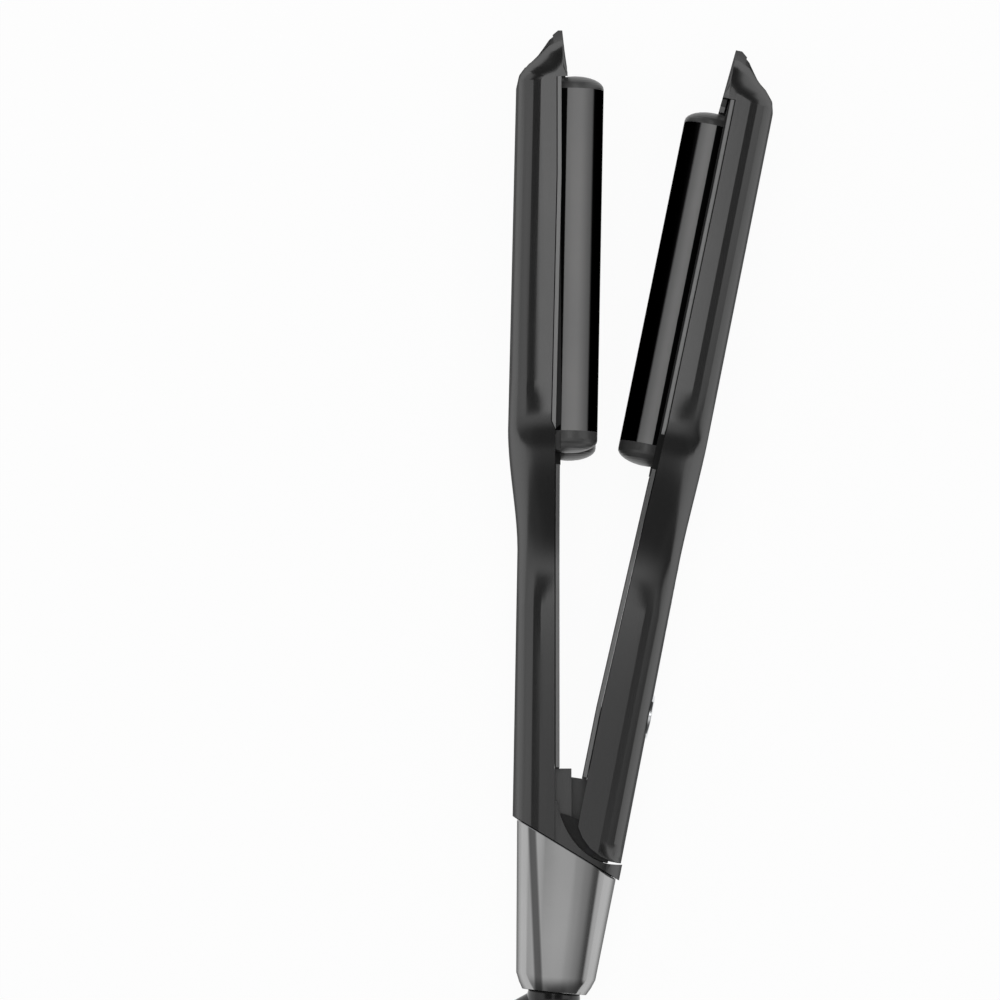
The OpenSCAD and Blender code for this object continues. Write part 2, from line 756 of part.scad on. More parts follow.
// Radius and height of the coil after a number of turns
function coil_radius(n) =
  let (k = floor(n / layer_turn), f = n - k * layer_turn, g = min(1, f / coil_turns))
  k % 2 == 0 ? mid(coil_outer, coil_inner, g) : mid(coil_inner, coil_outer, g);
function coil_height(n) =
  let (k = floor(n / layer_turn), f = n - k * layer_turn)
  coil_floor + coil_rise * (k + share(f, coil_turns, layer_turn));
function coil_point(n) =
  let (a = coil_start + 360 * n, r = coil_radius(n))
  [coil_centre[0] + r * cos(a), coil_centre[1] + r * sin(a), coil_height(n)];
coil_end = coil_layers * layer_turn - 0.5;
coil_rings = 24;
function coil_heading(n) = let (v = coil_point(n + 0.001) - coil_point(n - 0.001)) v / norm(v);
coil_path = concat(
  [for (i = [0:round(coil_end * coil_rings)]) coil_point(i * coil_end / round(coil_end * coil_rings))]
);
coil_first = coil_path[0] - cord_d * [-sin(coil_start), cos(coil_start), 0];
coil_last_turn = coil_start + 360 * coil_end;
coil_last = coil_path[len(coil_path) - 1] + cord_d * [-sin(coil_last_turn), cos(coil_last_turn), 0];
coil_line = concat([coil_first], coil_path, [coil_last]);
// Least gap between stretches of the coil more than a third of a turn apart
coil_gap = min([
  for (i = [0:2:len(coil_line) - 1]) for (j = [i + 8:len(coil_line) - 1])
    norm(coil_line[i] - coil_line[j])
]) - cord_d;
echo(coil_gap = coil_gap);

function run_length(p) = len(p) < 2 ? 0 : sum([for (i = [1:len(p) - 1]) norm(p[i] - p[i - 1])]);
function sum(v) = v * [for (x = v) 1];

plug_length = 36;
plug_size = [35.3, 13.7];
plug_at = [15, -137.7];
plug_aim = [0.6, 0.8, 0];
plug_back = [plug_at[0], plug_at[1], plug_size[1] / 2];
pin_spacing = 18.6;
pin_length = 19;
pin_root = 8;
plug_pin_r = 2;
pin_root_r = 1.6;
coil_first_way = coil_point(0.001) - coil_point(0);
coil_last_way = coil_point(coil_end) - coil_point(coil_end - 0.001);
lead_points = [
  relief_end, [-57, -75.7, 4.1], [-63.5, -79.8, 3.4], [-70, -85, 3.3], [-76, -91.8, 3.6], coil_first
];
tail_points = [
  coil_last, [-32, -164.5, 23.2], [-16, -163.5, 17], [-1, -157.6, 10.2], [8, -147.02, 7.2], plug_back
];
lead_line = spline(lead_points, 3);
tail_line = spline(tail_points, 4);
echo(coil_first = coil_first, coil_last = coil_last, relief_end = relief_end);
echo(cord_length = run_length(lead_line) + run_length(coil_line) + run_length(tail_line));

centre_x = (max([for (i = [0:40]) let (u = i * (tip_start(LEVER) + 6) / 40)
  (outer(LEVER, u) - tip_fall(share(u, tip_start(LEVER), lever_reach))) * cos(open_angle) + u * sin(open_angle)])
  - base_out_shoulder) / 2;
centre_y = (base_reach + swivel_centre[1] + boss_aim[1] * boss_length
  - boss_r * sqrt(1 - pow(boss_aim[1], 2))) / 2;

// ---- Controls ----

board_depth = 4;
board_thick = 1.6;
board_low = 40;
board_high = 119;
board_side = 3.2;
switch_size = 6;
switch_height = 3.2;
plunger_r = 1.6;
ring_low = 8;
ring_proud = 0.6;
button_low = 8.9;
button_flange = 0.5;
button_slide = 0.06;
function crest(u) = outer(LEVER, u);

// Point of the wavy window's middle line, and its half width, from its upper end
function wave_phase(s) = -97 + 1498 * s - 375 * s * s;
function wave_middle(s) = [
  mid(window_high, window_low, s),
  handle_middle + 0.3 + wave_swing * 0.8 * min(1, s / 0.1) * sin(wave_phase(s))
    - 1.75 * smooth(share(s, 0.74, 0.95))
];
function wave_half(s) = (0.6 + 0.4 * pow(sin(wave_phase(s)), 2)) * min(1, 0.35 + s / 0.12, 0.35 + (1 - s) / 0.08);
function wave_side(s, hand, grow) =
  let (d = wave_middle(s + 0.01) - wave_middle(s - 0.01), k = norm(d))
  wave_middle(s) + hand * (wave_half(s) + grow) * [-d[1], d[0]] / k;
wave_steps = 50;
lit_steps = round(lit_share * wave_steps);
module wave(from, to, grow) {
  polygon([
    for (i = [from:to]) wave_side(i / wave_steps, 1, grow),
    for (i = [to:-1:from]) wave_side(i / wave_steps, -1, grow)
  ]);
}
led_places = [0.13, 0.27, 0.41, 0.57, 0.73];

module rounded_square(size, r) {
  translate([r, 0]) square([size[0] - 2 * r, size[1]]);
  translate([0, r]) square([size[0], size[1] - 2 * r]);
  for (x = [r, size[0] - r]) for (y = [r, size[1] - r]) translate([x, y]) circle(r);
}

// ---- Nodes ----

module base_shell() {
  color("#4a4b4d") difference() {
    union() {
      difference() {
        on_base() shell_body(BASE, base_end_low);
        on_base() shell_cavity(BASE, base_end_low - 1);
        belt_plane(0, -1);
      }
      difference() {
        on_tail() ovals([tail_ring(-tail_top, step_out), tail_ring(-collar_low, step_out)], 0.7);
        on_tail() ovals([tail_ring(-tail_top - 1, -tail_wall), tail_ring(1 - collar_low, -tail_wall)], 0.86);
        cradle_space(0);
        belt_plane(0, -1);
        translate([-far, collar_top, -far]) cube([2 * far, far, 2 * far]);
      }
      on_base() screw_bosses(BASE);
    }
    on_base() vent_cut(BASE);
  }
}
module base_head_trim() {
  color("#a9abad") on_base() head_trim(BASE);
}
module base_handle_cover() {
  color("#a9abad") on_base() handle_cover(BASE, base_cover_low);
}
module base_cover_screws() {
  color("#8a8d90") on_base() cover_screws(BASE);
}
module base_barrel_tray() {
  color("#1d1d1f") difference() {
    on_base() tray_block(BASE, base_nose, base_tray_back);
    on_jaw() barrel_space(barrel_gap, nest_gap);
  }
}
module base_barrels() {
  color("#2b2c2e") on_jaw() at_sides() barrel(barrel_from(base_start), barrel_to(BASE, base_nose));
}
module base_upper_caps() {
  color("#1d1d1f") on_jaw() at_sides() upper_cap_at(BASE, base_nose, -1);
}
module base_lower_caps() {
  color("#1d1d1f") difference() {
    on_jaw() at_sides() lower_cap_at(base_start, -1);
    on_base() cap_limit(BASE);
  }
}
module base_heaters() {
  color("#b9a46a") on_jaw() at_sides() heater(barrel_from(base_start), barrel_to(BASE, base_nose));
}
module base_vent_grille() {
  color("#77797b") on_base() vent_grille(BASE);
}
wire_r = 0.9;
wire_spread = 5;
wire_low = -18;
wire_depth = 4.2;
module base_wiring() {
  color("#b03a2e") {
    for (side = [-1, 1]) {
      translate([-base_face - wire_depth, 0, handle_middle + side * wire_spread]) {
        rod(wire_r, wire_low, tray_low + seat);
      }
    }
  }
}
bracket_reach = 16;
bracket_low = 16;
bracket_top = 12;
heel_room = [12.5, 20];
shaft_top = 34;
wire_channel = [6, 50, 13];
cheek_low = wall + 0.25;
cheek_play = 0.3;
cheek_side = 6;
// Side outline of the cheeks, which stand in the hollow end of the lever
module cheek_outline() {
  size = cradle_size - [cheek_play, cheek_play];
  last = 180 + acos((cradle_centre[0] - cheek_side) / size[0]);
  polygon(concat(
    [for (i = [0:8]) let (a = mid(200, last, i / 8)) cradle_centre + [size[0] * cos(a), size[1] * sin(a)]],
    [[cheek_side, 4], [0, 9], [lug_side - 1, 12]]
  ));
}
module hinge_bracket() {
  color("#5c5e60") difference() {
    union() {
      intersection() {
        on_tail() ovals([
          tail_ring(-tail_top - bracket_reach, -tail_wall - seat), tail_ring(-bracket_low, -tail_wall - seat)
        ], 0.86);
        union() {
          difference() {
            translate([-far, -far, 0]) cube([2 * far, far + bracket_top, handle_width]);
            cradle_space(seat);
          }
          for (low = [lug_low, handle_width - lug_low - lug]) {
            translate([0, 0, low]) linear_extrude(lug) lug_outline();
          }
        }
      }
      for (low = [cheek_low, handle_width - lug_low - lug]) {
        translate([0, 0, low]) linear_extrude(lug_low + lug - cheek_low) cheek_outline();
      }
    }
    translate([-heel_room[0], -knuckle_r - 1, knuckle_low - knuckle_play]) {
      cube([heel_room[0] + knuckle_r + 1, heel_room[1], knuckle_high - knuckle_low + 2 * knuckle_play]);
    }
    translate([0, 0, pin_low]) cylinder(r = pin_d / 2 + press_gap, h = handle_width);
    on_tail() translate([0, 0, -shaft_top]) cylinder(r = neck_d / 2, h = shaft_top - bracket_low + 2);
    translate([-base_face - wire_depth - 3.8, -wire_channel[1] / 2, handle_middle - wire_channel[2] / 2]) {
      cube(wire_channel);
    }
    translate([-spring_r - spring_wire / 2 - 0.1, -spring_leg - 1, spring_low - spring_wire / 2 - 0.1]) {
      cube([spring_wire + 0.2, spring_leg, spring_wire + 0.2]);
    }
  }
}
pin_low = lug_low + 0.4;
module hinge_pin() {
  color("#b5b8bb") translate([0, 0, pin_low]) cylinder(r = pin_d / 2, h = handle_width - 2 * pin_low);
}
spring_r = 3.3;
spring_turns = 4;
spring_pitch = 1.7;
spring_leg = 9;
spring_low = handle_middle - spring_turns * spring_pitch / 2;
spring_high = spring_low + spring_turns * spring_pitch;
function turned(p, a) = [p[0] * cos(a) - p[1] * sin(a), p[0] * sin(a) + p[1] * cos(a), p[2]];
module hinge_spring() {
  turn = 360 * spring_turns + open_angle;
  steps = 16 * spring_turns;
  color("#9da1a5") tube(concat(
    [[-spring_r, -spring_leg, spring_low], [-spring_r, -spring_leg / 2, spring_low]],
    [for (i = [0:steps]) turned([-spring_r, 0, mid(spring_low, spring_high, i / steps)], -turn * i / steps)],
    [for (k = [0.5, 1]) turned([-spring_r, spring_leg * k, spring_high], -open_angle)]
  ), spring_wire / 2, 8);
}
module tail_cone() {
  color("#a0a2a4") tail_sleeve();
}
module lever_shell() {
  color("#4a4b4d") on_lever() difference() {
    union() {
      difference() {
        shell_body(LEVER, end_low);
        shell_cavity(LEVER, 4);
      }
      screw_bosses(LEVER);
      for (u = [board_low + 2.5, board_high - 3]) for (z = [board_side + 3, handle_width - board_side - 3]) {
        translate([board_depth, u, z]) rotate([0, 90, 0]) {
          cylinder(r = 1.8, h = outer(LEVER, u) - wall / 2 - board_depth - face_crown);
        }
      }
    }
    vent_cut(LEVER);
    cap_room();
    translate([heel_open[0], heel_open[1], wall]) {
      cube([heel_open[2], heel_open[3], handle_width - 2 * wall]);
    }
    translate([ring_low - 1, button_at, handle_middle]) rotate([0, 90, 0]) cylinder(r = ring_d / 2 + 0.1, h = 9);
    across(window_deep - 1, lever_out_low + 3) wave(0, wave_steps, seat);
  }
}
module lever_head_trim() {
  color("#a9abad") on_lever() difference() {
    head_trim(LEVER);
    cap_room();
  }
}
module lever_handle_cover() {
  prong = lug_low - 0.3;
  color("#a9abad") on_lever() difference() {
    handle_cover(LEVER, prong_low);
    translate([lever_face_low - 1, prong_low - 1, prong]) {
      cube([trim + 2, lever_cover_low - prong_low + 1, handle_width - 2 * prong]);
    }
  }
}
module lever_cover_screws() {
  color("#8a8d90") on_lever() cover_screws(LEVER);
}
module lever_barrel_tray() {
  color("#1d1d1f") on_lever() difference() {
    tray_block(LEVER, lever_nose, lever_tray_back);
    barrel_space(nest_gap, barrel_gap);
  }
}
module lever_barrel() {
  color("#2b2c2e") on_lever() at_middle() barrel(barrel_from(lever_start), barrel_to(LEVER, lever_nose));
}
module lever_upper_cap() {
  color("#1d1d1f") on_lever() at_middle() upper_cap_at(LEVER, lever_nose, 1);
}
module lever_lower_cap() {
  color("#1d1d1f") on_lever() difference() {
    at_middle() lower_cap_at(lever_start, 1);
    cap_limit(LEVER);
  }
}
module lever_heater() {
  color("#b9a46a") on_lever() at_middle() heater(barrel_from(lever_start), barrel_to(LEVER, lever_nose));
}
module lever_vent_grille() {
  color("#77797b") on_lever() vent_grille(LEVER);
}
module lever_wiring() {
  color("#b03a2e") on_lever() {
    for (side = [-1, 1]) {
      translate([board_depth - board_thick - wire_r, 0, handle_middle + side * wire_spread]) {
        rod(wire_r, board_high - 3 * board_side, tray_low + seat);
      }
    }
  }
}
heel_high = 27.6;
heel_side = 17;
heel_open = [-12, -8, 19, 24];
heel_line = [[-7.5, 6], [-9.5, 10], [-11, 14], [-11.5, 18], [-11.5, 23.6], [-5.9, 23.9]];
notch_half = 4.6;
notch_top = 8;
module lever_knuckle() {
  back = outer(LEVER, heel_high) - wall - face_crown - seat;
  broad = knuckle_high - knuckle_low;
  color("#5c5e60") on_lever() difference() {
    translate([0, 0, knuckle_low]) {
      linear_extrude(broad) {
        polygon(concat(
          [[0, -knuckle_r * 0.2], [-knuckle_r * 0.9, -knuckle_r * 0.2]], heel_line,
          [[-5.8, heel_high], [back, heel_high], [back, heel_side], [knuckle_r * 0.8, 1]]
        ));
      }
      cylinder(r = knuckle_r, h = broad);
    }
    cylinder(r = pin_d / 2 + pin_play, h = handle_width);
    translate([-far / 2, -knuckle_r - 1, handle_middle - notch_half]) {
      cube([far, knuckle_r + 1 + notch_top, 2 * notch_half]);
    }
    translate([-spring_r - spring_wire / 2 - 0.1, 0, spring_high - spring_wire / 2 - 0.1]) {
      cube([spring_wire + 0.2, spring_leg + 0.4, spring_wire + 0.2]);
    }
  }
}
module control_board() {
  color("#2e6b3e") on_lever() translate([board_depth - board_thick, board_low, board_side]) {
    cube([board_thick, board_high - board_low, handle_width - 2 * board_side]);
  }
}
module power_switch() {
  color("#2a2a2a") on_lever() difference() {
    translate([board_depth, button_at - switch_size / 2, handle_middle - switch_size / 2]) {
      cube([switch_height, switch_size, switch_size]);
    }
    translate([board_depth + 1.6, button_at, handle_middle]) rotate([0, 90, 0]) {
      cylinder(r = plunger_r + button_slide, h = 5);
    }
  }
}
module switch_plunger() {
  color("#c9c9c9") on_lever() translate([board_depth + 1.7 + button_travel, button_at, handle_middle]) {
    rotate([0, 90, 0]) cylinder(r = plunger_r, h = button_low - board_depth - 1.7 - button_travel);
  }
}
module indicator_leds() {
  color("#e8e2c8") on_lever() {
    for (s = led_places) {
      translate([board_depth, wave_middle(s)[0] - 1.5, wave_middle(s)[1] - 0.8]) cube([1.2, 3, 1.6]);
    }
  }
}
window_deep = board_depth + 1.3;
module temperature_window() {
  color("#8b8d8f") on_lever() across(window_deep, crest(waist) - 0.25) wave(lit_steps, wave_steps, 0);
}
module temperature_segment() {
  color("#ff6b66") on_lever() across(window_deep, crest(waist) - 0.25) wave(0, lit_steps, 0);
}
module button_ring() {
  color("#d5d8da") on_lever() translate([ring_low, button_at, handle_middle]) rotate([0, 90, 0]) {
    difference() {
      cylinder(r = ring_d / 2, h = crest(button_at) + ring_proud - ring_low);
      translate([0, 0, -1]) cylinder(r = button_d / 2 + button_slide, h = 9);
      translate([0, 0, -1]) cylinder(r = button_d / 2 + 0.9, h = button_low + button_flange + 0.1 - ring_low + 1);
    }
  }
}
module power_button() {
  color("#3f4143") on_lever() translate([button_low, button_at, handle_middle]) rotate([0, 90, 0]) {
    cylinder(r = button_d / 2, h = crest(button_at) + 0.1 - button_low);
    cylinder(r = button_d / 2 + 0.5, h = button_flange);
  }
}
module cord_lead() {
  color("#1b1b1c") tube(lead_line, cord_d / 2, 8, boss_aim, coil_first_way);
}
module cord_coil() {
  color("#1b1b1c") tube(coil_line, cord_d / 2, 6, coil_first_way, coil_last_way);
}
module cord_tail() {
  color("#1b1b1c") tube(tail_line, cord_d / 2, 8, coil_last_way, plug_aim);
}
tie_width = 9;
tie_at = 40;
module cord_tie() {
  room = cord_d / 2 + tie_room;
  slack = 0.45;
  inner = [coil_outer - coil_inner + 2 * room + slack, coil_rise * (coil_layers - 1) + 2 * room];
  full = inner + 2 * [tie_thick, tie_thick];
  color("#2a2a2c") translate([coil_centre[0], coil_centre[1], coil_floor - room - tie_thick]) {
    rotate([0, 0, tie_at]) {
      translate([coil_inner - room - slack - tie_thick, tie_width / 2, 0]) rotate([90, 0, 0]) {
        linear_extrude(tie_width) difference() {
          rounded_square(full, cord_d / 2);
          translate([tie_thick, tie_thick]) rounded_square(inner, cord_d / 2 - tie_thick);
        }
      }
    }
  }
}
// Plug frame: origin at its cord end, +Z along its pins
module on_plug() {
  translate(plug_back) rotate([0, 0, -atan2(plug_aim[0], plug_aim[1])]) rotate([-90, 0, 0]) children();
}
module plug_body() {
  color("#1b1b1c") on_plug() difference() {
    hull() {
      for (x = [-1, 1]) {
        translate([x * (plug_size[0] - plug_size[1]) / 2, 0, plug_length - 9]) {
          cylinder(r = plug_size[1] / 2, h = 9, $fn = 32);
        }
        translate([x * 4, 0, 0]) cylinder(r = 5, h = 2, $fn = 32);
      }
    }
    for (x = [-1, 1]) {
      translate([x * pin_spacing / 2, 0, plug_length - pin_root]) {
        cylinder(r = pin_root_r + press_gap, h = pin_root + 1);
      }
    }
  }
}
module plug_pins() {
  color("#c9b76a") on_plug() for (x = [-1, 1]) {
    translate([x * pin_spacing / 2, 0, plug_length]) {
      cylinder(r = plug_pin_r, h = pin_length);
      translate([0, 0, -pin_root]) cylinder(r = pin_root_r, h = pin_root + 1);
    }
  }
}

echo(hinge = [-centre_x, -centre_y, 0], travel = close_travel);
echo(swivel = swivel_centre - [centre_x, centre_y, 0], down = tail_down);
echo(plug_face = plug_back + plug_length * plug_aim - [centre_x, centre_y, 0]);

home() base_shell();
home() base_head_trim();
home() base_handle_cover();
home() base_cover_screws();
home() base_barrel_tray();
home() base_barrels();
home() base_upper_caps();
home() base_lower_caps();
home() base_heaters();
home() base_vent_grille();
home() base_wiring();
home() hinge_bracket();
home() hinge_pin();
home() hinge_spring();
home() tail_cone();
home() lever_shell();
home() lever_head_trim();
home() lever_handle_cover();
home() lever_cover_screws();
home() lever_barrel_tray();
home() lever_barrel();
home() lever_upper_cap();
home() lever_lower_cap();
home() lever_heater();
home() lever_vent_grille();
home() lever_wiring();
home() lever_knuckle();
home() control_board();
home() power_switch();
home() switch_plunger();
home() indicator_leds();
home() temperature_window();
home() temperature_segment();
home() button_ring();
home() power_button();
home() cord_swivel();
home() swivel_clip();
home() strain_relief();
home() cord_lead();
home() cord_coil();
home() cord_tail();
home() cord_tie();
home() plug_body();
home() plug_pins();
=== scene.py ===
# Hair crimper with its arms open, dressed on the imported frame
import bmesh
import bpy
import math
from mathutils import Matrix, Vector
from mathutils.bvhtree import BVHTree
from mathutils.kdtree import KDTree


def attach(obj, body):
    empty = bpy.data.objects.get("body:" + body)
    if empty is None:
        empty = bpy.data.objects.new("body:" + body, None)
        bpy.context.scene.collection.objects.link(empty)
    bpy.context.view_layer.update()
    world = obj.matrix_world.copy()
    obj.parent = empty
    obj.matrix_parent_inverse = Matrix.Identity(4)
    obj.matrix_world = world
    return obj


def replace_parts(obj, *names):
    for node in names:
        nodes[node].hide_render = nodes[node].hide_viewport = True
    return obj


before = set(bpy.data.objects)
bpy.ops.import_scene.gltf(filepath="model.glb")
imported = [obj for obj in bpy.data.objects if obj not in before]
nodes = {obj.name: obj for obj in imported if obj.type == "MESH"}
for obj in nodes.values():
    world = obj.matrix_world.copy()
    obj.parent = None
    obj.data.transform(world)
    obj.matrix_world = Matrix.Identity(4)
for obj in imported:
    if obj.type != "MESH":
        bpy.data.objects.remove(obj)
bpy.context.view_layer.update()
mm = 0.001
hinge = Vector((-17.2446, -112.078, 0)) * mm  # where the hinge axis meets the table
handleMiddle = 17.2 * mm
openAngle = math.radians(11.5)
jawLean = math.radians(1.1)  # the base barrels lean this far towards the lever
tailTilt = math.radians(5.9)
beltSlope = 0.606  # slant of the line where the tail slips into the collar
onLever = Matrix.Translation(hinge) @ Matrix.Rotation(-openAngle, 4, "Z")
leverInward = Vector((-math.cos(openAngle), math.sin(openAngle), 0))
baseInward = Vector((1, 0, 0))
print("frame loaded:", len(nodes), "nodes")

cameraLook = {"target": (-48.7, 10.4, 17.0), "elevation": 86.6, "width": 350.0, "lens": 240.0}


def makeCamera():
    lens = bpy.data.cameras.new("studioCamera")
    lens.lens = cameraLook["lens"]
    lens.sensor_width = 36
    lens.clip_start, lens.clip_end = 0.05, 20
    camera = bpy.data.objects.new("studioCamera", lens)
    bpy.context.scene.collection.objects.link(camera)
    tilt = math.radians(cameraLook["elevation"])
    back = Vector((0, -math.cos(tilt), math.sin(tilt)))
    distance = cameraLook["width"] * mm * lens.lens / lens.sensor_width
    camera.location = Vector(cameraLook["target"]) * mm + back * distance
    camera.rotation_mode = "QUATERNION"
    camera.rotation_quaternion = (-back).to_track_quat("-Z", "Y")
    bpy.context.scene.camera = camera


makeCamera()
print("camera made")


class Value:
    # a number that varies over the surface; Python operators add the Math nodes
    def __init__(self, graph, socket):
        self.graph, self.socket = graph, socket

    def combine(self, operation, first, second):
        return self.graph.add("ShaderNodeMath", {"operation": operation}, {0: first, 1: second})

    def __add__(self, other):
        return self.combine("ADD", self, other)

    def __radd__(self, other):
        return self.combine("ADD", other, self)

    def __sub__(self, other):
        return self.combine("SUBTRACT", self, other)

    def __rsub__(self, other):
        return self.combine("SUBTRACT", other, self)

    def __mul__(self, other):
        return self.combine("MULTIPLY", self, other)

    def __rmul__(self, other):
        return self.combine("MULTIPLY", other, self)

    def above(self, edge, softness):
        # 0 below the edge, 1 above it, with a soft step between
        span = {"From Min": edge - softness, "From Max": edge + softness, "To Min": 0.0, "To Max": 1.0}
        return self.graph.add("ShaderNodeMapRange", {"interpolation_type": "SMOOTHSTEP"}, {"Value": self, **span})

    def below(self, edge, softness):
        return 1 - self.above(edge, softness)


class Graph:
    # the nodes of one material, or of the world
    def __init__(self, tree, coordinates):
        self.tree = tree
        tree.nodes.clear()
        self.place = self.add("ShaderNodeTexCoord", {}, {}, coordinates)

    def add(self, kind, settings, values, result=0):
        node = self.tree.nodes.new(kind)
        for key, setting in settings.items():
            if key == "stops":
                ramp = node.color_ramp
                while len(ramp.elements) < len(setting):
                    ramp.elements.new(0.5)
                for element, (position, level) in zip(ramp.elements, setting):
                    element.position, element.color = position, (level, level, level, 1)
            else:
                setattr(node, key, setting)
        for key, value in values.items():
            if isinstance(value, Value):
                self.tree.links.new(value.socket, node.inputs[key])
            else:
                node.inputs[key].default_value = value
        return Value(self, node.outputs[result])

    def axis(self, name):
        return self.add("ShaderNodeSeparateXYZ", {}, {0: self.place}, name)

    def along(self, direction, origin):
        # distance from the origin, measured along a direction
        shifted = self.add("ShaderNodeVectorMath", {"operation": "SUBTRACT"}, {0: self.place, 1: origin})
        return self.add("ShaderNodeVectorMath", {"operation": "DOT_PRODUCT"}, {0: shifted, 1: direction}, "Value")

    def noise(self, scale, detail=2.0, stretch=None, roughness=0.5):
        where = self.place
        if stretch:
            lay = {"Vector": where, "Scale": stretch["scale"], "Rotation": stretch["turn"]}
            where = self.add("ShaderNodeMapping", {}, lay)
        grain = {"Vector": where, "Scale": scale, "Detail": detail, "Roughness": roughness}
        return self.add("ShaderNodeTexNoise", {}, grain)

    def blend(self, share, first, second):
        return self.add("ShaderNodeMix", {"data_type": "RGBA"}, {0: share, 6: first, 7: second}, 2)

    def bump(self, height, strength, distance):
        relief = {"Height": height, "Strength": strength, "Distance": distance}
        return self.add("ShaderNodeBump", {}, relief, "Normal")


class Finish(Graph):
    def __init__(self, name):
        self.material = bpy.data.materials.new(name)
        self.material.use_nodes = True
        super().__init__(self.material.node_tree, "Object")
        self.output = self.tree.nodes.new("ShaderNodeOutputMaterial")

    def show(self, shader):
        self.tree.links.new(shader.socket, self.output.inputs["Surface"])
        return self.material

    def surface(self, values, rim=None):
        body = self.add("ShaderNodeBsdfPrincipled", {}, values)
        if rim:
            # painted shade: the faces that turn away from the eye are mixed with a dark matt layer, a dark outline
            # standing in for dark reflections at the edges
            facing = self.add("ShaderNodeLayerWeight", {}, {"Blend": 0.5}, "Facing")
            turned = facing.above(rim["start"], rim["soft"])
            darkOutline = self.add("ShaderNodeBsdfPrincipled", {}, {
                "Base Color": grey(rim["level"]), "Roughness": 0.9, "Specular IOR Level": 0.0,
            })
            body = self.add("ShaderNodeMixShader", {}, {0: rim["share"] * turned, 1: body, 2: darkOutline})
        return self.show(body)


def grey(level, warm=0.0):
    return (level * (1 + warm), level, level * (1 - warm), 1)


def mouldedPlastic(name, level, roughness=0.45, grainScale=1900, depth=0.00003, gloss=0.5):
    plastic = Finish(name)
    grain = plastic.noise(grainScale, 3.0)
    cloud = plastic.noise(40, 3.0)
    return plastic.surface({
        "Base Color": plastic.blend(cloud.above(0.5, 0.3), grey(level * 0.9), grey(level * 1.12)),
        "Roughness": roughness - 0.06 + 0.12 * cloud,
        "Specular IOR Level": gloss,
        "Normal": plastic.bump(grain, 0.5, depth),
    })


def rubberSheath(name, level, roughness=0.42):
    # smooth sheath with a little dust in its grain
    sheath = Finish(name)
    fine = sheath.noise(1500, 3.0)
    dust = sheath.noise(90, 5.0, roughness=0.65)
    return sheath.surface({
        "Base Color": sheath.blend(dust.above(0.62, 0.15), grey(level), grey(level * 1.5)),
        "Roughness": roughness + 0.12 * dust,
        "Normal": sheath.bump(fine, 0.3, 0.00003),
    })


print("shader helpers ready")


def mergedCopy(node):
    shape = bmesh.new()
    shape.from_mesh(nodes[node].data)
    bmesh.ops.remove_doubles(shape, verts=shape.verts, dist=0.000004)
    bmesh.ops.dissolve_limit(shape, angle_limit=math.radians(0.2), verts=shape.verts, edges=shape.edges)
    return shape


def cutAcross(shape, place, aim):
    geom = shape.verts[:] + shape.edges[:] + shape.faces[:]
    bmesh.ops.bisect_plane(shape, geom=geom, dist=1e-7, plane_co=place, plane_no=aim)


def raiseFaces(shape, lift):
    # turns flat faces into a thin solid
    top = bmesh.ops.extrude_face_region(shape, geom=shape.faces[:])["geom"]
    raised = [g for g in top if isinstance(g, bmesh.types.BMVert)]
    bmesh.ops.translate(shape, verts=raised, vec=lift)
    bmesh.ops.recalc_face_normals(shape, faces=shape.faces)


def placeShape(shape, name, materials):
    mesh = bpy.data.meshes.new(name)
    shape.to_mesh(mesh)
    shape.free()
    piece = bpy.data.objects.new(name, mesh)
    bpy.context.scene.collection.objects.link(piece)
    for material in materials:
        mesh.materials.append(material)
    return piece


def finishPiece(shape, name, body, materials, bevel, seam):
    # smooth faces, crisp seams, and a small rounded edge on the seams
    for face in shape.faces:
        face.smooth = True
    for edge in shape.edges:
        edge.smooth = len(edge.link_faces) == 2 and edge.calc_face_angle(0) < math.radians(seam)
    piece = placeShape(shape, name, materials)
    if bevel:
        rounding = piece.modifiers.new("edgeRounding", "BEVEL")
        rounding.width = bevel * mm
        rounding.segments = 2
        rounding.limit_method = "ANGLE"
        rounding.angle_limit = math.radians(seam + 8)
        rounding.use_clamp_overlap = True
        rounding.harden_normals = False
    steady = piece.modifiers.new("steadyNormals", "WEIGHTED_NORMAL")
    steady.keep_sharp = True
    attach(piece, body)
    return piece


def dressNode(node, name, body, material, bevel, seam):
    piece = finishPiece(mergedCopy(node), name, body, [material], bevel, seam)
    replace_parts(piece, node)
    return piece


def recolour(node, material):
    for slot in nodes[node].material_slots:
        slot.material = material


cordLook = {
    "diameter": 6.2, "outerTurn": 41.0, "turnPitch": 7.7, "turns": 1.7, "turnRound": 0.5,
    "rise": 6.9, "layers": 4, "centre": (-46.0, -122.0), "startAngle": 155.0, "lowest": 4.05,
    "swivel": (-12.6, -49.2), "swivelDrop": 2.3, "relief": 45.0, "leaving": (-0.847, -0.465, -0.258),
    "leadPoints": [(-57, -75.7, 4.1), (-63.5, -79.8, 3.4), (-70, -85, 3.3), (-76, -91.8, 3.6)],
    "tailPoints": [(-32, -164.5, 23.2), (-16, -163.5, 17), (-1, -157.6, 10.2), (8, -147.02, 7.2)],
}
plugLook = {
    "back": (15.0, -137.7, 6.85), "aim": (0.6, 0.8, 0), "length": 36.0, "sleeved": 10.0,
    "grooves": (8.5, 12.0, 15.5, 19.0, 22.5), "grooveWidth": 1.6, "grooveDepth": 0.45, "grooveSlope": 0.35,
    "bevel": 0.5, "seam": 30, "collarSeam": 40,
    "collar": [(1.0, 4.9), (-2.0, 4.8), (-2.6, 4.1), (-3.6, 4.1), (-4.2, 4.7), (-5.4, 4.6),
               (-6.0, 3.9), (-7.0, 3.9), (-7.6, 4.5), (-8.8, 4.4), (-9.4, 3.8), (-10.4, 3.8),
               (-11.0, 4.2), (-12.4, 4.0), (-12.8, 3.5)],
}


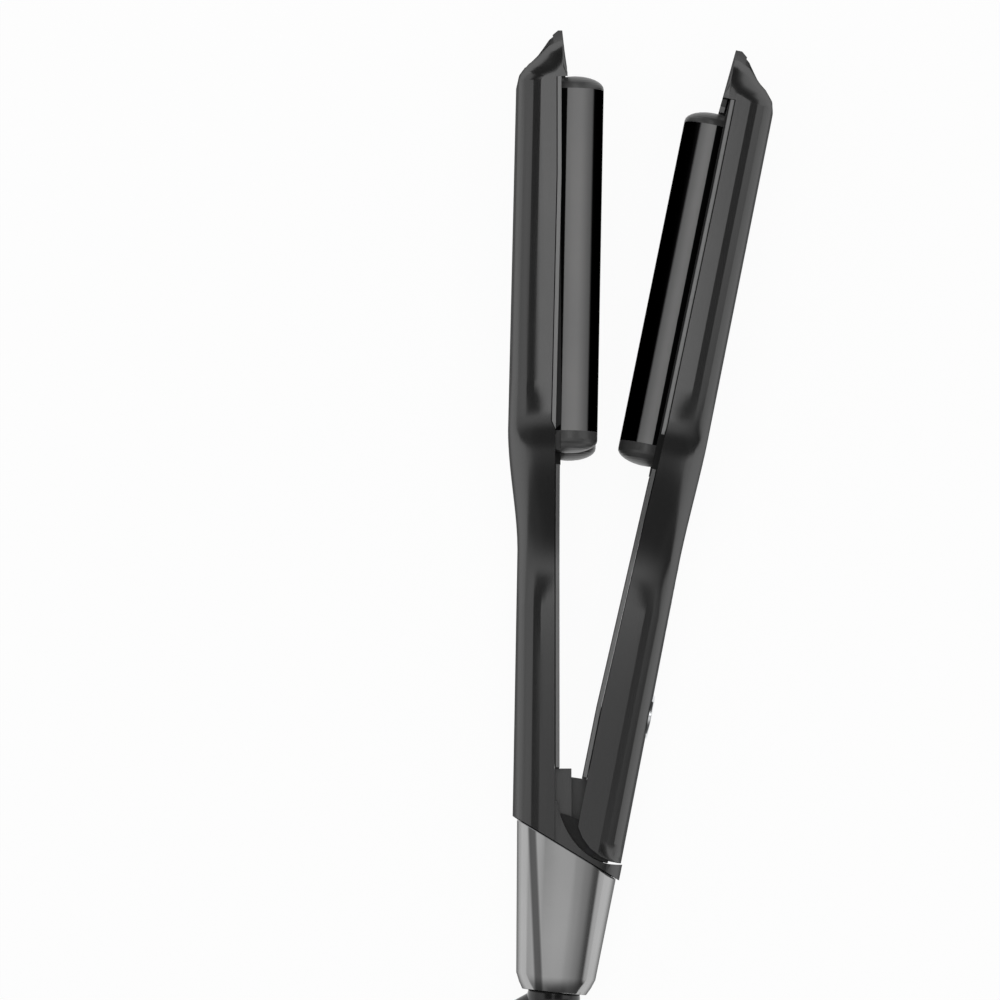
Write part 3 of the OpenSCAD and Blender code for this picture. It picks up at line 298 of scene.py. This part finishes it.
def splineThrough(points, steps):
    line = []
    for i in range(len(points) - 1):
        b, c = points[i], points[i + 1]
        a = points[i - 1] if i else 2 * b - c
        d = points[i + 2] if i + 2 < len(points) else 2 * c - b
        for k in range(steps):
            t = k / steps
            bend = (2 * a - 5 * b + 4 * c - d) * t * t + (3 * b - a - 3 * c + d) * t ** 3
            line.append(0.5 * (2 * b + (c - a) * t + bend))
    return line + [points[-1]]


def coilPoint(n):
    # place on the coil after n turns: in and out again, a layer higher at each turn-round
    layerTurn = cordLook["turns"] + cordLook["turnRound"]
    layer = math.floor(n / layerTurn + 1e-9)
    part = n - layer * layerTurn
    share = min(1, max(0, part / cordLook["turns"]))
    if layer % 2:
        share = 1 - share
    radius = cordLook["outerTurn"] - cordLook["turnPitch"] * cordLook["turns"] * share
    climb = min(1, max(0, (part - cordLook["turns"]) / cordLook["turnRound"]))
    angle = math.radians(cordLook["startAngle"] + 360 * n)
    return Vector((
        cordLook["centre"][0] + radius * math.cos(angle),
        cordLook["centre"][1] + radius * math.sin(angle),
        cordLook["lowest"] + cordLook["rise"] * (layer + climb),
    ))


def cordRoute():
    # strain relief, lead, coil, tail; the coil has no turn-round after its last layer
    down = Vector((math.sin(tailTilt), math.cos(tailTilt), 0)) * cordLook["swivelDrop"]
    ball = Vector((*cordLook["swivel"], handleMiddle / mm)) - down
    leaving = ball + Vector(cordLook["leaving"]).normalized() * cordLook["relief"]
    coilEnd = cordLook["layers"] * (cordLook["turns"] + cordLook["turnRound"]) - cordLook["turnRound"]
    coil = [coilPoint(coilEnd * i / 500) for i in range(501)]
    lead = splineThrough([leaving] + [Vector(p) for p in cordLook["leadPoints"]] + [coil[0]], 8)
    tail = splineThrough([coil[-1]] + [Vector(p) for p in cordLook["tailPoints"]] + [Vector(plugLook["back"])], 10)
    return [hinge + point * mm for point in lead[:-1] + coil + tail[1:]]


def makeLead(material):
    route = cordRoute()
    line = bpy.data.curves.new("mainsLead", "CURVE")
    line.dimensions = "3D"
    line.bevel_depth = cordLook["diameter"] / 2 * mm
    line.bevel_resolution = 4
    line.use_fill_caps = True
    spline = line.splines.new("POLY")
    spline.points.add(len(route) - 1)
    for point, place in zip(spline.points, route):
        point.co = (*place, 1)
    spline.use_smooth = True
    lead = bpy.data.objects.new("mainsLead", line)
    bpy.context.scene.collection.objects.link(lead)
    line.materials.append(material)
    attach(lead, "cord")
    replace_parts(lead, "cord_lead", "cord_coil", "cord_tail")
    return lead, route


plugTurn = -math.atan2(plugLook["aim"][0], plugLook["aim"][1])
onPlug = Matrix.Translation(hinge + Vector(plugLook["back"]) * mm) @ Matrix.Rotation(plugTurn, 4, "Z")


def makePlug(material):
    # the moulded body with its grip grooves; Y runs along the pins
    shape = mergedCopy("plug_body")
    shape.transform(onPlug.inverted())
    slope, deep = plugLook["grooveSlope"], plugLook["grooveDepth"] * mm
    inside = slope - 0.05  # a little short of the groove's floor, to catch its edges
    for start in plugLook["grooves"]:
        end = start + plugLook["grooveWidth"]
        for at in (start, start + slope, end - slope, end):
            cutAcross(shape, (0, at * mm, 0), (0, 1, 0))
        for v in shape.verts:
            if start + inside < v.co.y / mm < end - inside:
                side = Vector((v.co.x, 0, v.co.z)).normalized()
                v.co -= side * deep
    shape.transform(onPlug)
    plug = finishPiece(shape, "plugBody", "cord", [material], plugLook["bevel"], plugLook["seam"])
    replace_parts(plug, "plug_body")
    return plug


def makePlugCollar(material):
    # ribbed sleeve that eases the lead out of the plug
    shape = bmesh.new()
    outline = [shape.verts.new((radius * mm, along * mm, 0)) for along, radius in plugLook["collar"]]
    edges = [shape.edges.new(pair) for pair in zip(outline, outline[1:])]
    bmesh.ops.spin(
        shape, geom=outline + edges, cent=(0, 0, 0), axis=(0, 1, 0), angle=math.tau, steps=32, use_merge=True,
    )
    bmesh.ops.holes_fill(shape, edges=[e for e in shape.edges if e.is_boundary])
    bmesh.ops.recalc_face_normals(shape, faces=shape.faces)
    shape.transform(onPlug)
    return finishPiece(shape, "plugCollar", "cord", [material], 0.0, plugLook["collarSeam"])


def sleevedPin(name):
    # plated pin with a dark sleeve on the half next to the plug
    pin = Finish(name)
    marks = pin.noise(900, 4.0, roughness=0.6)
    face = onPlug @ Vector((0, plugLook["length"] * mm, 0))
    bare = pin.along(plugLook["aim"], tuple(face)).above(plugLook["sleeved"] * mm, 0.05 * mm)
    return pin.surface({
        "Base Color": pin.blend(bare, grey(0.012), (0.74, 0.72, 0.68, 1)),
        "Metallic": bare,
        "Roughness": 0.42 - 0.22 * bare + 0.06 * marks,
        "Normal": pin.bump(marks, 0.05, 0.00001),
    })


cordBlack = rubberSheath("cordBlack", 0.014)
plugBlack = mouldedPlastic("plugBlack", 0.016, 0.4, 1500)
strainRelief = dressNode("strain_relief", "strainRelief", "cord", plugBlack, 0.15, 50)
cordTie = dressNode("cord_tie", "cordTie", "cord", rubberSheath("tieBand", 0.03, 0.6), 0.2, 40)
plugBody = makePlug(plugBlack)
plugCollar = makePlugCollar(plugBlack)
recolour("plug_pins", sleevedPin("plugPins"))
mainsLead, leadRoute = makeLead(cordBlack)
leadLength = sum((b - a).length for a, b in zip(leadRoute, leadRoute[1:]))
print("lead made:", round(leadLength, 3), "m")


# painted shade on the collar round the tail: where it ends, how soft, how far in, how softly it fades, how dark
collarShadeBelt = {"top": 7.5, "soft": 0.5, "side": 8, "fade": 4, "level": 0.008}
# painted shade at the faces that turn from the eye: where it starts, how soft, how much, how dark
satinEdgeShade = {"start": 0.62, "soft": 0.3, "share": 0.9, "level": 0.03}
coneEdgeShade = {"start": 0.66, "soft": 0.2, "share": 0.8, "level": 0.08}


def satinCoat(name, level, roughness=0.2, belt=None):
    # satin coat over a moulding: fine grain, faint clouds and handling marks
    paint = Finish(name)
    cloud = paint.noise(16, 3.0)
    marks = paint.noise(70, 5.0, roughness=0.62)
    grain = paint.noise(2400, 2.0)
    colour = paint.blend(cloud.above(0.5, 0.25), grey(level * 0.94), grey(level * 1.06))
    if belt:
        # painted shade: the collar round the tail is darkened on its inner side, where shade falls below the
        # lever's end
        collar = paint.along((beltSlope, 1, 0), tuple(hinge)).below(belt["top"] * mm, belt["soft"] * mm)
        inner = paint.axis("X").above(hinge.x - belt["side"] * mm, belt["fade"] * mm)
        colour = paint.blend(collar * inner, colour, grey(belt["level"]))
    return paint.surface({
        "Base Color": colour,
        "Roughness": roughness - 0.03 + 0.06 * marks,
        "Specular IOR Level": 1.0,
        "Normal": paint.bump(grain, 0.3, 0.00001),
    }, satinEdgeShade)


# painted reflection on the cone's flank: where it lies, which way is across, half its width, softness, how dark
coneReflectionBand = {"place": (-19.85, -4.2), "across": (0.9991, 0.0413, 0), "half": 1.3, "soft": 0.5, "level": 0.3}


def brushedCone(name, level, roughness):
    # fine lines run round the cone, under a satin lacquer
    metal = Finish(name)
    lines = metal.noise(1.0, 3.0, {"scale": (300, 5200, 300), "turn": (0, 0, tailTilt)})
    cloud = metal.noise(30, 2.0)
    # painted reflection: a darker band runs down the flank, standing in for a dark reflection
    look = coneReflectionBand
    aside = metal.along(look["across"], tuple(hinge + Vector((*look["place"], 0)) * mm))
    paintedReflection = aside.above(-look["half"] * mm, look["soft"] * mm) * aside.below(look["half"] * mm, look["soft"] * mm)
    lacquer = metal.blend(cloud.above(0.5, 0.3), grey(level * 0.95), grey(level * 1.05))
    return metal.surface({
        "Base Color": metal.blend(paintedReflection, lacquer, grey(level * look["level"])),
        "Metallic": 1.0,
        "Roughness": roughness - 0.03 + 0.06 * lines,
        "Normal": metal.bump(lines, 0.1, 0.00001),
    }, coneEdgeShade)


# lean, depth of the axis under the hair side, which way is inward, where the black starts, where the tray's
# painted shadow begins, and the grey level of the painted light
baseBarrels = {"turn": jawLean, "axisDepth": 10.3, "inward": 1, "edge": 6.1, "back": -2.9, "level": 0.22}
leverBarrel = {"turn": openAngle, "axisDepth": 8.7, "inward": -1, "edge": 3.9, "back": -1.6, "level": 0.3}
# the black's colour, how softly the black starts, roughness, the painted shadow's softness, the width and darkest
# share of the painted shade towards the black
barrelLook = {"inner": 0.004, "edge": 0.45, "roughness": 0.45, "shade": 0.15, "shadeFalloff": 2.5, "darkest": 0.55}


def ceramicCoat(name, look):
    # dark ceramic, glossy black on the side that meets the hair; the grey on the outer side is painted light, with
    # painted shade and a painted shadow
    coat = Finish(name)
    turn, level = look["turn"], look["level"]
    lines = coat.noise(1.0, 2.0, {"scale": (1400, 18, 1400), "turn": (0, 0, turn)})
    cloud = coat.noise(28, 4.0)
    outward = Vector((math.cos(turn), -math.sin(turn), 0))
    reach = coat.along(tuple(look["inward"] * outward), tuple(hinge - outward * look["axisDepth"] * mm))
    # the side that meets the hair is glossy black; beyond it the colour is painted light
    unlitGlossySide = reach.above(look["edge"] * mm, barrelLook["edge"] * mm)
    # painted shadow where the tray shades the barrel
    shaded = reach.below(look["back"] * mm, barrelLook["shade"] * mm)
    # painted light: a grey standing in for a softbox reflection on the outer side
    lit = coat.blend(cloud.above(0.5, 0.3), grey(level * 0.94), grey(level * 1.06, 0.01))
    # painted shade: the painted light darkens towards the glossy black side
    shadeFalloff = reach.above((look["edge"] - 2) * mm, barrelLook["shadeFalloff"] * mm)
    litAndShaded = coat.blend(shadeFalloff, lit, grey(level * barrelLook["darkest"]))
    litAndShaded = coat.blend(shaded, litAndShaded, grey(0.002))
    return coat.surface({
        "Base Color": coat.blend(unlitGlossySide, litAndShaded, grey(barrelLook["inner"])),
        "Metallic": unlitGlossySide,
        "Roughness": barrelLook["roughness"] + 0.05 * lines - 0.25 * unlitGlossySide,
        "Specular Tint": grey(0.1),
        "Specular IOR Level": 0.2,
        "Normal": coat.bump(lines, 0.05, 0.00001),
    })


def polishedMetal(name, colour, roughness=0.08):
    metal = Finish(name)
    marks = metal.noise(900, 4.0, roughness=0.6)
    cloud = metal.noise(120, 2.0)
    darker = tuple(c * 0.88 for c in colour[:3]) + (1,)
    return metal.surface({
        "Base Color": metal.blend(cloud.above(0.5, 0.3), darker, colour),
        "Metallic": 1.0,
        "Roughness": roughness + 0.08 * marks,
        "Normal": metal.bump(marks, 0.04, 0.00001),
    })


def lightGuide(name, colour, glow):
    guide = Finish(name)
    ripple = guide.noise(420, 2.0)
    darker = tuple(c * 0.82 for c in colour[:3]) + (1,)
    shade = guide.blend(ripple.above(0.5, 0.3), darker, colour)
    return guide.surface({
        "Base Color": shade,
        "Emission Color": shade,
        "Emission Strength": glow,
        "Roughness": 0.22 + 0.08 * ripple,
        "Coat Weight": 0.6,
        "Coat Roughness": 0.12,
    })


def bracketFinish(name, level, deep):
    # moulded grey, with the cheeks beside the lugs left dark
    moulding = Finish(name)
    cloud = moulding.noise(40, 3.0)
    grain = moulding.noise(1900, 3.0)
    cheek = (moulding.axis("Z") - handleMiddle).above(deep * mm, 0.1 * mm)
    lit = moulding.blend(cloud, grey(level * 0.9), grey(level * 1.1))
    return moulding.surface({
        "Base Color": moulding.blend(cheek, lit, grey(0.003)),
        "Roughness": 0.36 + 0.12 * cloud,
        "Specular IOR Level": 0.5,
        "Normal": moulding.bump(grain, 0.4, 0.00003),
    })


def printedInk(name, colour):
    ink = Finish(name)
    speck = ink.noise(3000, 2.0)
    darker = tuple(c * 0.9 for c in colour[:3]) + (1,)
    return ink.surface({
        "Base Color": ink.blend(speck.above(0.45, 0.2), darker, colour),
        "Roughness": 0.5 + 0.1 * speck,
    })


def boardLaminate(name):
    board = Finish(name)
    weave = board.add("ShaderNodeTexVoronoi", {"feature": "F1"}, {"Vector": board.place, "Scale": 900}, "Distance")
    cloud = board.noise(60, 3.0)
    return board.surface({
        "Base Color": board.blend(cloud.above(0.5, 0.2), (0.012, 0.075, 0.03, 1), (0.02, 0.11, 0.045, 1)),
        "Roughness": 0.35 + 0.1 * weave,
        "Normal": board.bump(weave, 0.2, 0.00003),
    })


shellPaint = satinCoat("shellPaint", 0.014)
baseShellPaint = satinCoat("baseShellPaint", 0.014, belt=collarShadeBelt)
stripPaint = satinCoat("stripPaint", 0.13, 0.32)
coverPaint = satinCoat("coverPaint", 0.12, 0.36)
grillePaint = satinCoat("grillePaint", 0.03, 0.4)
conePaint = brushedCone("conePaint", 0.42, 0.13)
edgeChrome = polishedMetal("edgeChrome", (0.3, 0.3, 0.31, 1), 0.2)
baseBarrelCoat = ceramicCoat("baseBarrelCoat", baseBarrels)
leverBarrelCoat = ceramicCoat("leverBarrelCoat", leverBarrel)
capPlastic = mouldedPlastic("capPlastic", 0.06, 0.34)
trayPlastic = mouldedPlastic("trayPlastic", 0.01, 0.5, gloss=0.3)
bracketPlastic = bracketFinish("bracketPlastic", 0.07, 14.3)
steelMetal = polishedMetal("steelMetal", (0.56, 0.57, 0.58, 1), 0.22)
pinSteel = polishedMetal("pinSteel", (0.05, 0.05, 0.052, 1), 0.3)
chromeMetal = polishedMetal("chromeMetal", (0.86, 0.87, 0.88, 1))
heaterMetal = polishedMetal("heaterMetal", (0.5, 0.48, 0.44, 1), 0.35)
buttonPlastic = mouldedPlastic("buttonPlastic", 0.03, 0.32, 2600)
guideGrey = lightGuide("guideGrey", (0.2, 0.2, 0.205, 1), 0.0)
guideRed = lightGuide("guideRed", (0.78, 0.13, 0.12, 1), 0.45)
labelInk = printedInk("labelInk", (0.5, 0.5, 0.5, 1))
markInk = printedInk("markInk", (0.16, 0.16, 0.165, 1))
laminate = boardLaminate("laminate")
lampClear = lightGuide("lampClear", (0.8, 0.78, 0.68, 1), 0.0)
wireSheath = rubberSheath("wireSheath", 0.02)
swivelGloss = mouldedPlastic("swivelGloss", 0.012, 0.16, 2600, 0.00001)
print("finishes ready")

dressed = [
    ("base_barrel_tray", "baseTray", "base", trayPlastic, 0.3, 32),
    ("hinge_bracket", "hingeBracket", "base", bracketPlastic, 0.4, 32),
    ("lever_barrel_tray", "leverTray", "lever", trayPlastic, 0.3, 32),
    ("lever_knuckle", "leverKnuckle", "lever", bracketPlastic, 0.4, 32),
    ("button_ring", "buttonRing", "lever", chromeMetal, 0.3, 32),
    ("power_button", "powerButton", "button", buttonPlastic, 0.35, 32),
]
plainNodes = {
    "base_barrels": baseBarrelCoat, "lever_barrel": leverBarrelCoat,
    "base_upper_caps": capPlastic, "base_lower_caps": capPlastic,
    "lever_upper_cap": capPlastic, "lever_lower_cap": capPlastic,
    "base_heaters": heaterMetal, "lever_heater": heaterMetal,
    "base_vent_grille": grillePaint, "lever_vent_grille": grillePaint,
    "base_cover_screws": steelMetal, "lever_cover_screws": steelMetal,
    "base_wiring": wireSheath, "lever_wiring": wireSheath,
    "hinge_pin": pinSteel, "hinge_spring": steelMetal, "swivel_clip": steelMetal,
    "control_board": laminate, "power_switch": capPlastic, "switch_plunger": buttonPlastic,
    "indicator_leds": lampClear, "temperature_window": guideGrey, "temperature_segment": guideRed,
    "cord_swivel": swivelGloss,
}
for node, name, body, material, bevel, seam in dressed:
    dressNode(node, name, body, material, bevel, seam)
for node, material in plainNodes.items():
    recolour(node, material)
print("nodes dressed")

shellLook = {"bevel": 0.25, "seam": 40}
neckLook = {
    "low": 84.0, "high": 162.0, "fade": 9.0, "step": 2.5, "sides": (-30, 20),
    "blur": 5.0, "margin": 12.0, "grain": 1.5, "agreement": 0.45,
}


def rowOf(first, last, step):
    return [first + step * i for i in range(int((last - first) / step) + 1)]


def cutRings(shape, toArm, look):
    # rows of points through the neck, for the shading to flow along
    shape.transform(toArm)
    slack = 0.01 * mm
    low, high = look["low"] * mm - slack, look["high"] * mm + slack
    cuts = [(Vector((0, u * mm, 0)), Vector((0, 1, 0))) for u in rowOf(look["low"], look["high"], look["step"])]
    cuts += [(Vector((x * mm, 0, 0)), Vector((1, 0, 0))) for x in rowOf(*look["sides"], look["step"])]
    for place, aim in cuts:
        near = [f for f in shape.faces if any(low < v.co.y < high for v in f.verts)]
        geom = near + list({e for f in near for e in f.edges}) + list({v for f in near for v in f.verts})
        bmesh.ops.bisect_plane(shape, geom=geom, dist=1e-6, plane_co=place, plane_no=aim)
    shape.transform(toArm.inverted())


def skinSamples(mesh, places, corners, look):
    # even points over the skin in and near the neck: place, direction, area
    samples = []
    for triangle in mesh.loop_triangles:
        ends = [places[i] for i in triangle.vertices]
        reach = sorted(p.y for p in ends)
        if reach[2] < look["low"] - look["margin"] or reach[0] > look["high"] + look["margin"]:
            continue
        aims = [corners[i] for i in triangle.loops]
        n = min(6, max(1, round(math.sqrt(triangle.area) / mm / look["grain"])))
        area = triangle.area / mm / mm / (n * (n + 1) / 2)
        for i in range(n):
            for k in range(n - i):
                a, b = (i + 1 / 3) / n, (k + 1 / 3) / n
                place, aim = (three[0] * (1 - a - b) + three[1] * a + three[2] * b for three in (ends, aims))
                samples.append((place, aim, area))
    return samples


def easeNeck(piece, toArm, look):
    # gives each corner in the neck the mean direction of the skin round it
    mesh = bpy.data.meshes.new_from_object(piece.evaluated_get(bpy.context.evaluated_depsgraph_get()))
    piece.modifiers.clear()
    piece.data = mesh
    corners = [c.vector.copy() for c in mesh.corner_normals]
    places = [toArm @ v.co / mm for v in mesh.vertices]
    samples = skinSamples(mesh, places, corners, look)
    tree = KDTree(len(samples))
    for i, sample in enumerate(samples):
        tree.insert(sample[0], i)
    tree.balance()
    known = {}
    for i, loop in enumerate(mesh.loops):
        place, own = places[loop.vertex_index], corners[i]
        ends = ((place.y - look["low"]) / look["fade"], (look["high"] - place.y) / look["fade"])
        into = min(1, max(0, ends[0])) * min(1, max(0, ends[1]))
        if not into:
            continue
        key = (loop.vertex_index, tuple(round(c, 3) for c in own))
        if key not in known:
            total = Vector((0, 0, 0))
            for _, k, distance in tree.find_range(place, 2 * look["blur"]):
                aim, area = samples[k][1:]
                if aim.dot(own) > look["agreement"]:
                    total += aim * area * math.exp(-((distance / look["blur"]) ** 2))
            mean = total.normalized() if total.length else own
            known[key] = (own + (mean - own) * into).normalized()
        corners[i] = known[key]
    mesh.normals_split_custom_set(corners)


def makeShell(node, name, body, material, toArm):
    shape = mergedCopy(node)
    cutRings(shape, toArm, neckLook)
    shell = finishPiece(shape, name, body, [material], shellLook["bevel"], shellLook["seam"])
    easeNeck(shell, toArm, neckLook)
    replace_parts(shell, node)


makeShell("base_shell", "baseShell", "base", baseShellPaint, Matrix.Translation(-hinge))
makeShell("lever_shell", "leverShell", "lever", shellPaint, onLever.inverted())
print("shells made")

seamLook = {"groove": 0.32, "shallow": 0.45, "back": -0.7, "inset": 0.05, "lift": 0.02, "bevel": 0.2}
facings = [
    ("base_head_trim", "baseHeadTrim", "base", stripPaint, baseInward),
    ("base_handle_cover", "baseHandleCover", "base", coverPaint, baseInward),
    ("lever_head_trim", "leverHeadTrim", "lever", stripPaint, leverInward),
    ("lever_handle_cover", "leverHandleCover", "lever", coverPaint, leverInward),
]


def openSeam(shape, inward, look):
    # draws the back of a strip forward, so that a groove shows along the shell
    walls = BVHTree.FromBMesh(shape)
    moves = {}
    for face in shape.faces:
        if face.normal.dot(inward) > look["back"]:
            continue
        middle = face.calc_center_median()
        for v in face.verts:
            start = v.co + (middle - v.co).normalized() * look["inset"] * mm + inward * look["lift"] * mm
            depth = walls.ray_cast(start, inward)[3] or 0
            moves[v] = min(look["groove"] * mm, look["shallow"] * depth)
    for v, move in moves.items():
        v.co += inward * move


for node, name, body, material, inward in facings:
    facing = mergedCopy(node)
    openSeam(facing, inward, seamLook)
    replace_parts(finishPiece(facing, name, body, [material], seamLook["bevel"], 32), node)
print("strips and covers made")

coneLook = {"beltDrop": 4.65, "edge": 0.35, "bevel": 0.15, "seam": 40}


def makeCone():
    # the tail sleeve, with a bright edge where it slips into the collar
    shape = mergedCopy("tail_cone")
    across = Vector((beltSlope, 1, 0)).normalized()
    belt = hinge + Vector((0, -coneLook["beltDrop"], 0)) * mm - across * coneLook["edge"] * mm
    cutAcross(shape, belt, across)
    for face in shape.faces:
        face.material_index = int((face.calc_center_median() - belt).dot(across) > 0)
    cone = finishPiece(shape, "tailCone", "base", [conePaint, edgeChrome], coneLook["bevel"], coneLook["seam"])
    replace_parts(cone, "tail_cone")


makeCone()
print("tail made")

labelLook = {
    "texts": [("220°C", 108.5, 13.8), ("200°C", 101.8, 20.0), ("180°C", 96.1, 13.8),
              ("190°C", 89.4, 20.0), ("140°C", 82.4, 13.8)],
    "height": 2.0, "width": 6.1, "thick": 0.05,
    # where the face is looked for, how low it can lie, where it lies if missed, and the air under a figure
    "outside": 60.0, "lowest": 9.0, "face": 10.6, "gap": 0.01,
}


def textMesh(text):
    curve = bpy.data.curves.new("label", "FONT")
    curve.body = text
    curve.align_x, curve.align_y = "CENTER", "CENTER"
    curve.resolution_u = 4
    letters = bpy.data.objects.new("label", curve)
    bpy.context.scene.collection.objects.link(letters)
    mesh = bpy.data.meshes.new_from_object(letters)
    bpy.data.objects.remove(letters)
    return mesh


def makeLabels():
    # figures run towards lower Z, their tops towards the tip, and lie on the lever's outer face
    shape = bmesh.new()
    for text, along, up in labelLook["texts"]:
        mesh = textMesh(text)
        wide = max(v.co.x for v in mesh.vertices) - min(v.co.x for v in mesh.vertices)
        tall = max(v.co.y for v in mesh.vertices) - min(v.co.y for v in mesh.vertices)
        for v in mesh.vertices:
            x, y = v.co.x * labelLook["width"] / wide, v.co.y * labelLook["height"] / tall
            v.co = Vector((0, along + y, up - x)) * mm
        shape.from_mesh(mesh)
        bpy.data.meshes.remove(mesh)
    arm = bmesh.new()
    arm.from_mesh(nodes["lever_shell"].data)
    arm.transform(onLever.inverted())
    surface = BVHTree.FromBMesh(arm)
    arm.free()
    for v in shape.verts:
        hit = surface.ray_cast(Vector((labelLook["outside"] * mm, v.co.y, v.co.z)), Vector((-1, 0, 0)))[0]
        found = hit and hit.x > labelLook["lowest"] * mm
        v.co.x = (hit.x if found else labelLook["face"] * mm) + labelLook["gap"] * mm
    bmesh.ops.remove_doubles(shape, verts=shape.verts, dist=0.000002)
    if sum(f.normal.x * f.calc_area() for f in shape.faces) < 0:
        bmesh.ops.reverse_faces(shape, faces=shape.faces)
    raiseFaces(shape, (labelLook["thick"] * mm, 0, 0))
    shape.transform(onLever)
    labels = placeShape(shape, "temperatureLabels", [labelInk])
    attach(labels, "lever")


symbolLook = {
    "radius": 2.6, "stroke": 0.42, "gap": 34, "barTop": 3.3, "barLow": 0.4, "thick": 0.06,
    "face": 11.13, "along": 49.7,
}


def makePowerSymbol():
    # an open ring and a bar, laid on the button
    look = symbolLook
    shape = bmesh.new()
    first = math.radians(90 + look["gap"])
    ends = [look["radius"] - look["stroke"] / 2, look["radius"] + look["stroke"] / 2]
    pair = [shape.verts.new((r * math.cos(first), r * math.sin(first), 0)) for r in ends]
    side = shape.edges.new(pair)
    sweep = math.radians(360 - 2 * look["gap"])
    bmesh.ops.spin(
        shape, geom=pair + [side], cent=(0, 0, 0), axis=(0, 0, 1), angle=sweep, steps=40, use_merge=False,
    )
    bar = bmesh.ops.create_grid(shape, x_segments=1, y_segments=1, size=0.5)["verts"]
    bmesh.ops.scale(shape, verts=bar, vec=(look["stroke"], look["barTop"] - look["barLow"], 1))
    bmesh.ops.translate(shape, verts=bar, vec=(0, (look["barTop"] + look["barLow"]) / 2, 0))
    bmesh.ops.recalc_face_normals(shape, faces=shape.faces)
    raiseFaces(shape, (0, 0, look["thick"]))
    # the symbol's X runs towards lower Z, its Y towards the tip
    turn = Matrix(((0, 0, 1, 0), (0, 1, 0, 0), (-1, 0, 0, 0), (0, 0, 0, 1)))
    place = Matrix.Translation((look["face"] * mm, look["along"] * mm, handleMiddle))
    shape.transform(onLever @ place @ turn @ Matrix.Scale(mm, 4))
    symbol = placeShape(shape, "powerSymbol", [markInk])
    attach(symbol, "button")


makeLabels()
makePowerSymbol()
print("marks made")

studioLook = {
    "floorSize": 6.0, "floorDrop": 0.2, "floorLevel": 0.92, "floorGlow": 0.95,
    # the sky's paler rim, and where the strips over the arms, the low sides and the tail begin (start, width)
    "horizon": 0.95, "rim": (0.03, 0.02), "tailSide": 0.24,
    "armsFrom": (-0.055, 0.02), "sidesFrom": (0.09, 0.08), "tailFrom": (-0.42, 0.33),
    # sky brightness from the far left, over the top, to the far right
    "armSky": [(0.0, 0.7), (0.07, 0.85), (0.15, 0.8), (0.22, 0.08), (0.42, 0.0), (0.45, 0.6), (0.515, 0.6),
               (0.55, 0.05), (0.72, 0.05), (0.8, 0.3), (0.84, 1.0), (0.96, 1.0), (1.0, 0.6)],
    "tailSky": [(0.0, 0.66), (0.12, 0.76), (0.525, 0.76), (0.58, 0.66), (0.66, 0.58), (0.725, 0.5), (0.8, 0.42),
                (0.86, 0.3), (0.92, 0.12), (0.94, 0.12), (0.965, 0.8), (1.0, 1.0)],
}
lamps = [
    {
        "name": "stripSoftbox", "place": (-0.0175, 0.31, 0.55), "size": (0.145, 0.62),
        "power": 0.29, "mirrored": True,
    },
    {
        "name": "fillSoftbox", "place": (0.0, 0.1, 1.5), "size": (1.2, 1.2),
        "power": 8.5, "mirrored": False,
    },
]


def makeFloor():
    paper = Finish("floorPaper")
    fibre = paper.noise(240, 3.0)
    level = studioLook["floorLevel"]
    sheet = paper.add("ShaderNodeBsdfPrincipled", {}, {
        "Base Color": paper.blend(fibre, grey(level), grey(level * 1.02)),
        "Roughness": 0.9,
    })
    # white to the eye and in reflections, with the object's shadow kept
    rays = ("Is Camera Ray", "Is Glossy Ray", "Is Transmission Ray")
    seen = [paper.add("ShaderNodeLightPath", {}, {}, ray) for ray in rays]
    rayShares = {0: seen[0] + seen[1], 1: seen[2]}
    share = paper.add("ShaderNodeMath", {"operation": "ADD", "use_clamp": True}, rayShares)
    white = paper.add("ShaderNodeEmission", {}, {"Color": grey(1.0), "Strength": 1.0})
    mix = paper.add("ShaderNodeMixShader", {}, {0: share * studioLook["floorGlow"], 1: sheet, 2: white})
    shape = bmesh.new()
    bmesh.ops.create_grid(shape, x_segments=2, y_segments=2, size=studioLook["floorSize"] / 2)
    floor = placeShape(shape, "studioFloor", [paper.show(mix)])
    floor.location.z = -studioLook["floorDrop"] * mm


def makeWorld():
    # long strip lights beside and over the tool, dark between them, pale at the horizon
    world = bpy.data.worlds.new("studioWorld")
    bpy.context.scene.world = world
    world.use_nodes = True
    sky = Graph(world.node_tree, "Generated")
    across, along, up = sky.axis("X"), sky.axis("Y"), sky.axis("Z")
    look = studioLook
    overArms, overTail = [
        sky.add("ShaderNodeValToRGB", {"stops": look[name]}, {0: 0.5 + 0.5 * across})
        for name in ("armSky", "tailSky")
    ]
    strips = overTail + (overArms - overTail) * along.above(*look["armsFrom"])
    below = look["tailSide"] * (0.5 + 0.5 * (across * across).above(*look["sidesFrom"]))
    dimmed = strips * (below + (1 - below) * along.above(*look["tailFrom"]))
    level = dimmed + (look["horizon"] - dimmed) * up.below(*look["rim"])
    light = sky.add("ShaderNodeBackground", {}, {"Color": grey(1.0), "Strength": level})
    out = sky.tree.nodes.new("ShaderNodeOutputWorld")
    sky.tree.links.new(light.socket, out.inputs["Surface"])


def makeLamps():
    for look in lamps:
        light = bpy.data.lights.new(look["name"], "AREA")
        light.shape = "RECTANGLE"
        light.size, light.size_y = look["size"]
        light.energy = look["power"]
        lamp = bpy.data.objects.new(look["name"], light)
        bpy.context.scene.collection.objects.link(lamp)
        lamp.location = look["place"]
        lamp.visible_camera = False
        lamp.visible_glossy = look["mirrored"]


makeFloor()
makeWorld()
makeLamps()
bpy.context.scene.view_settings.view_transform = "Standard"
print("studio ready")
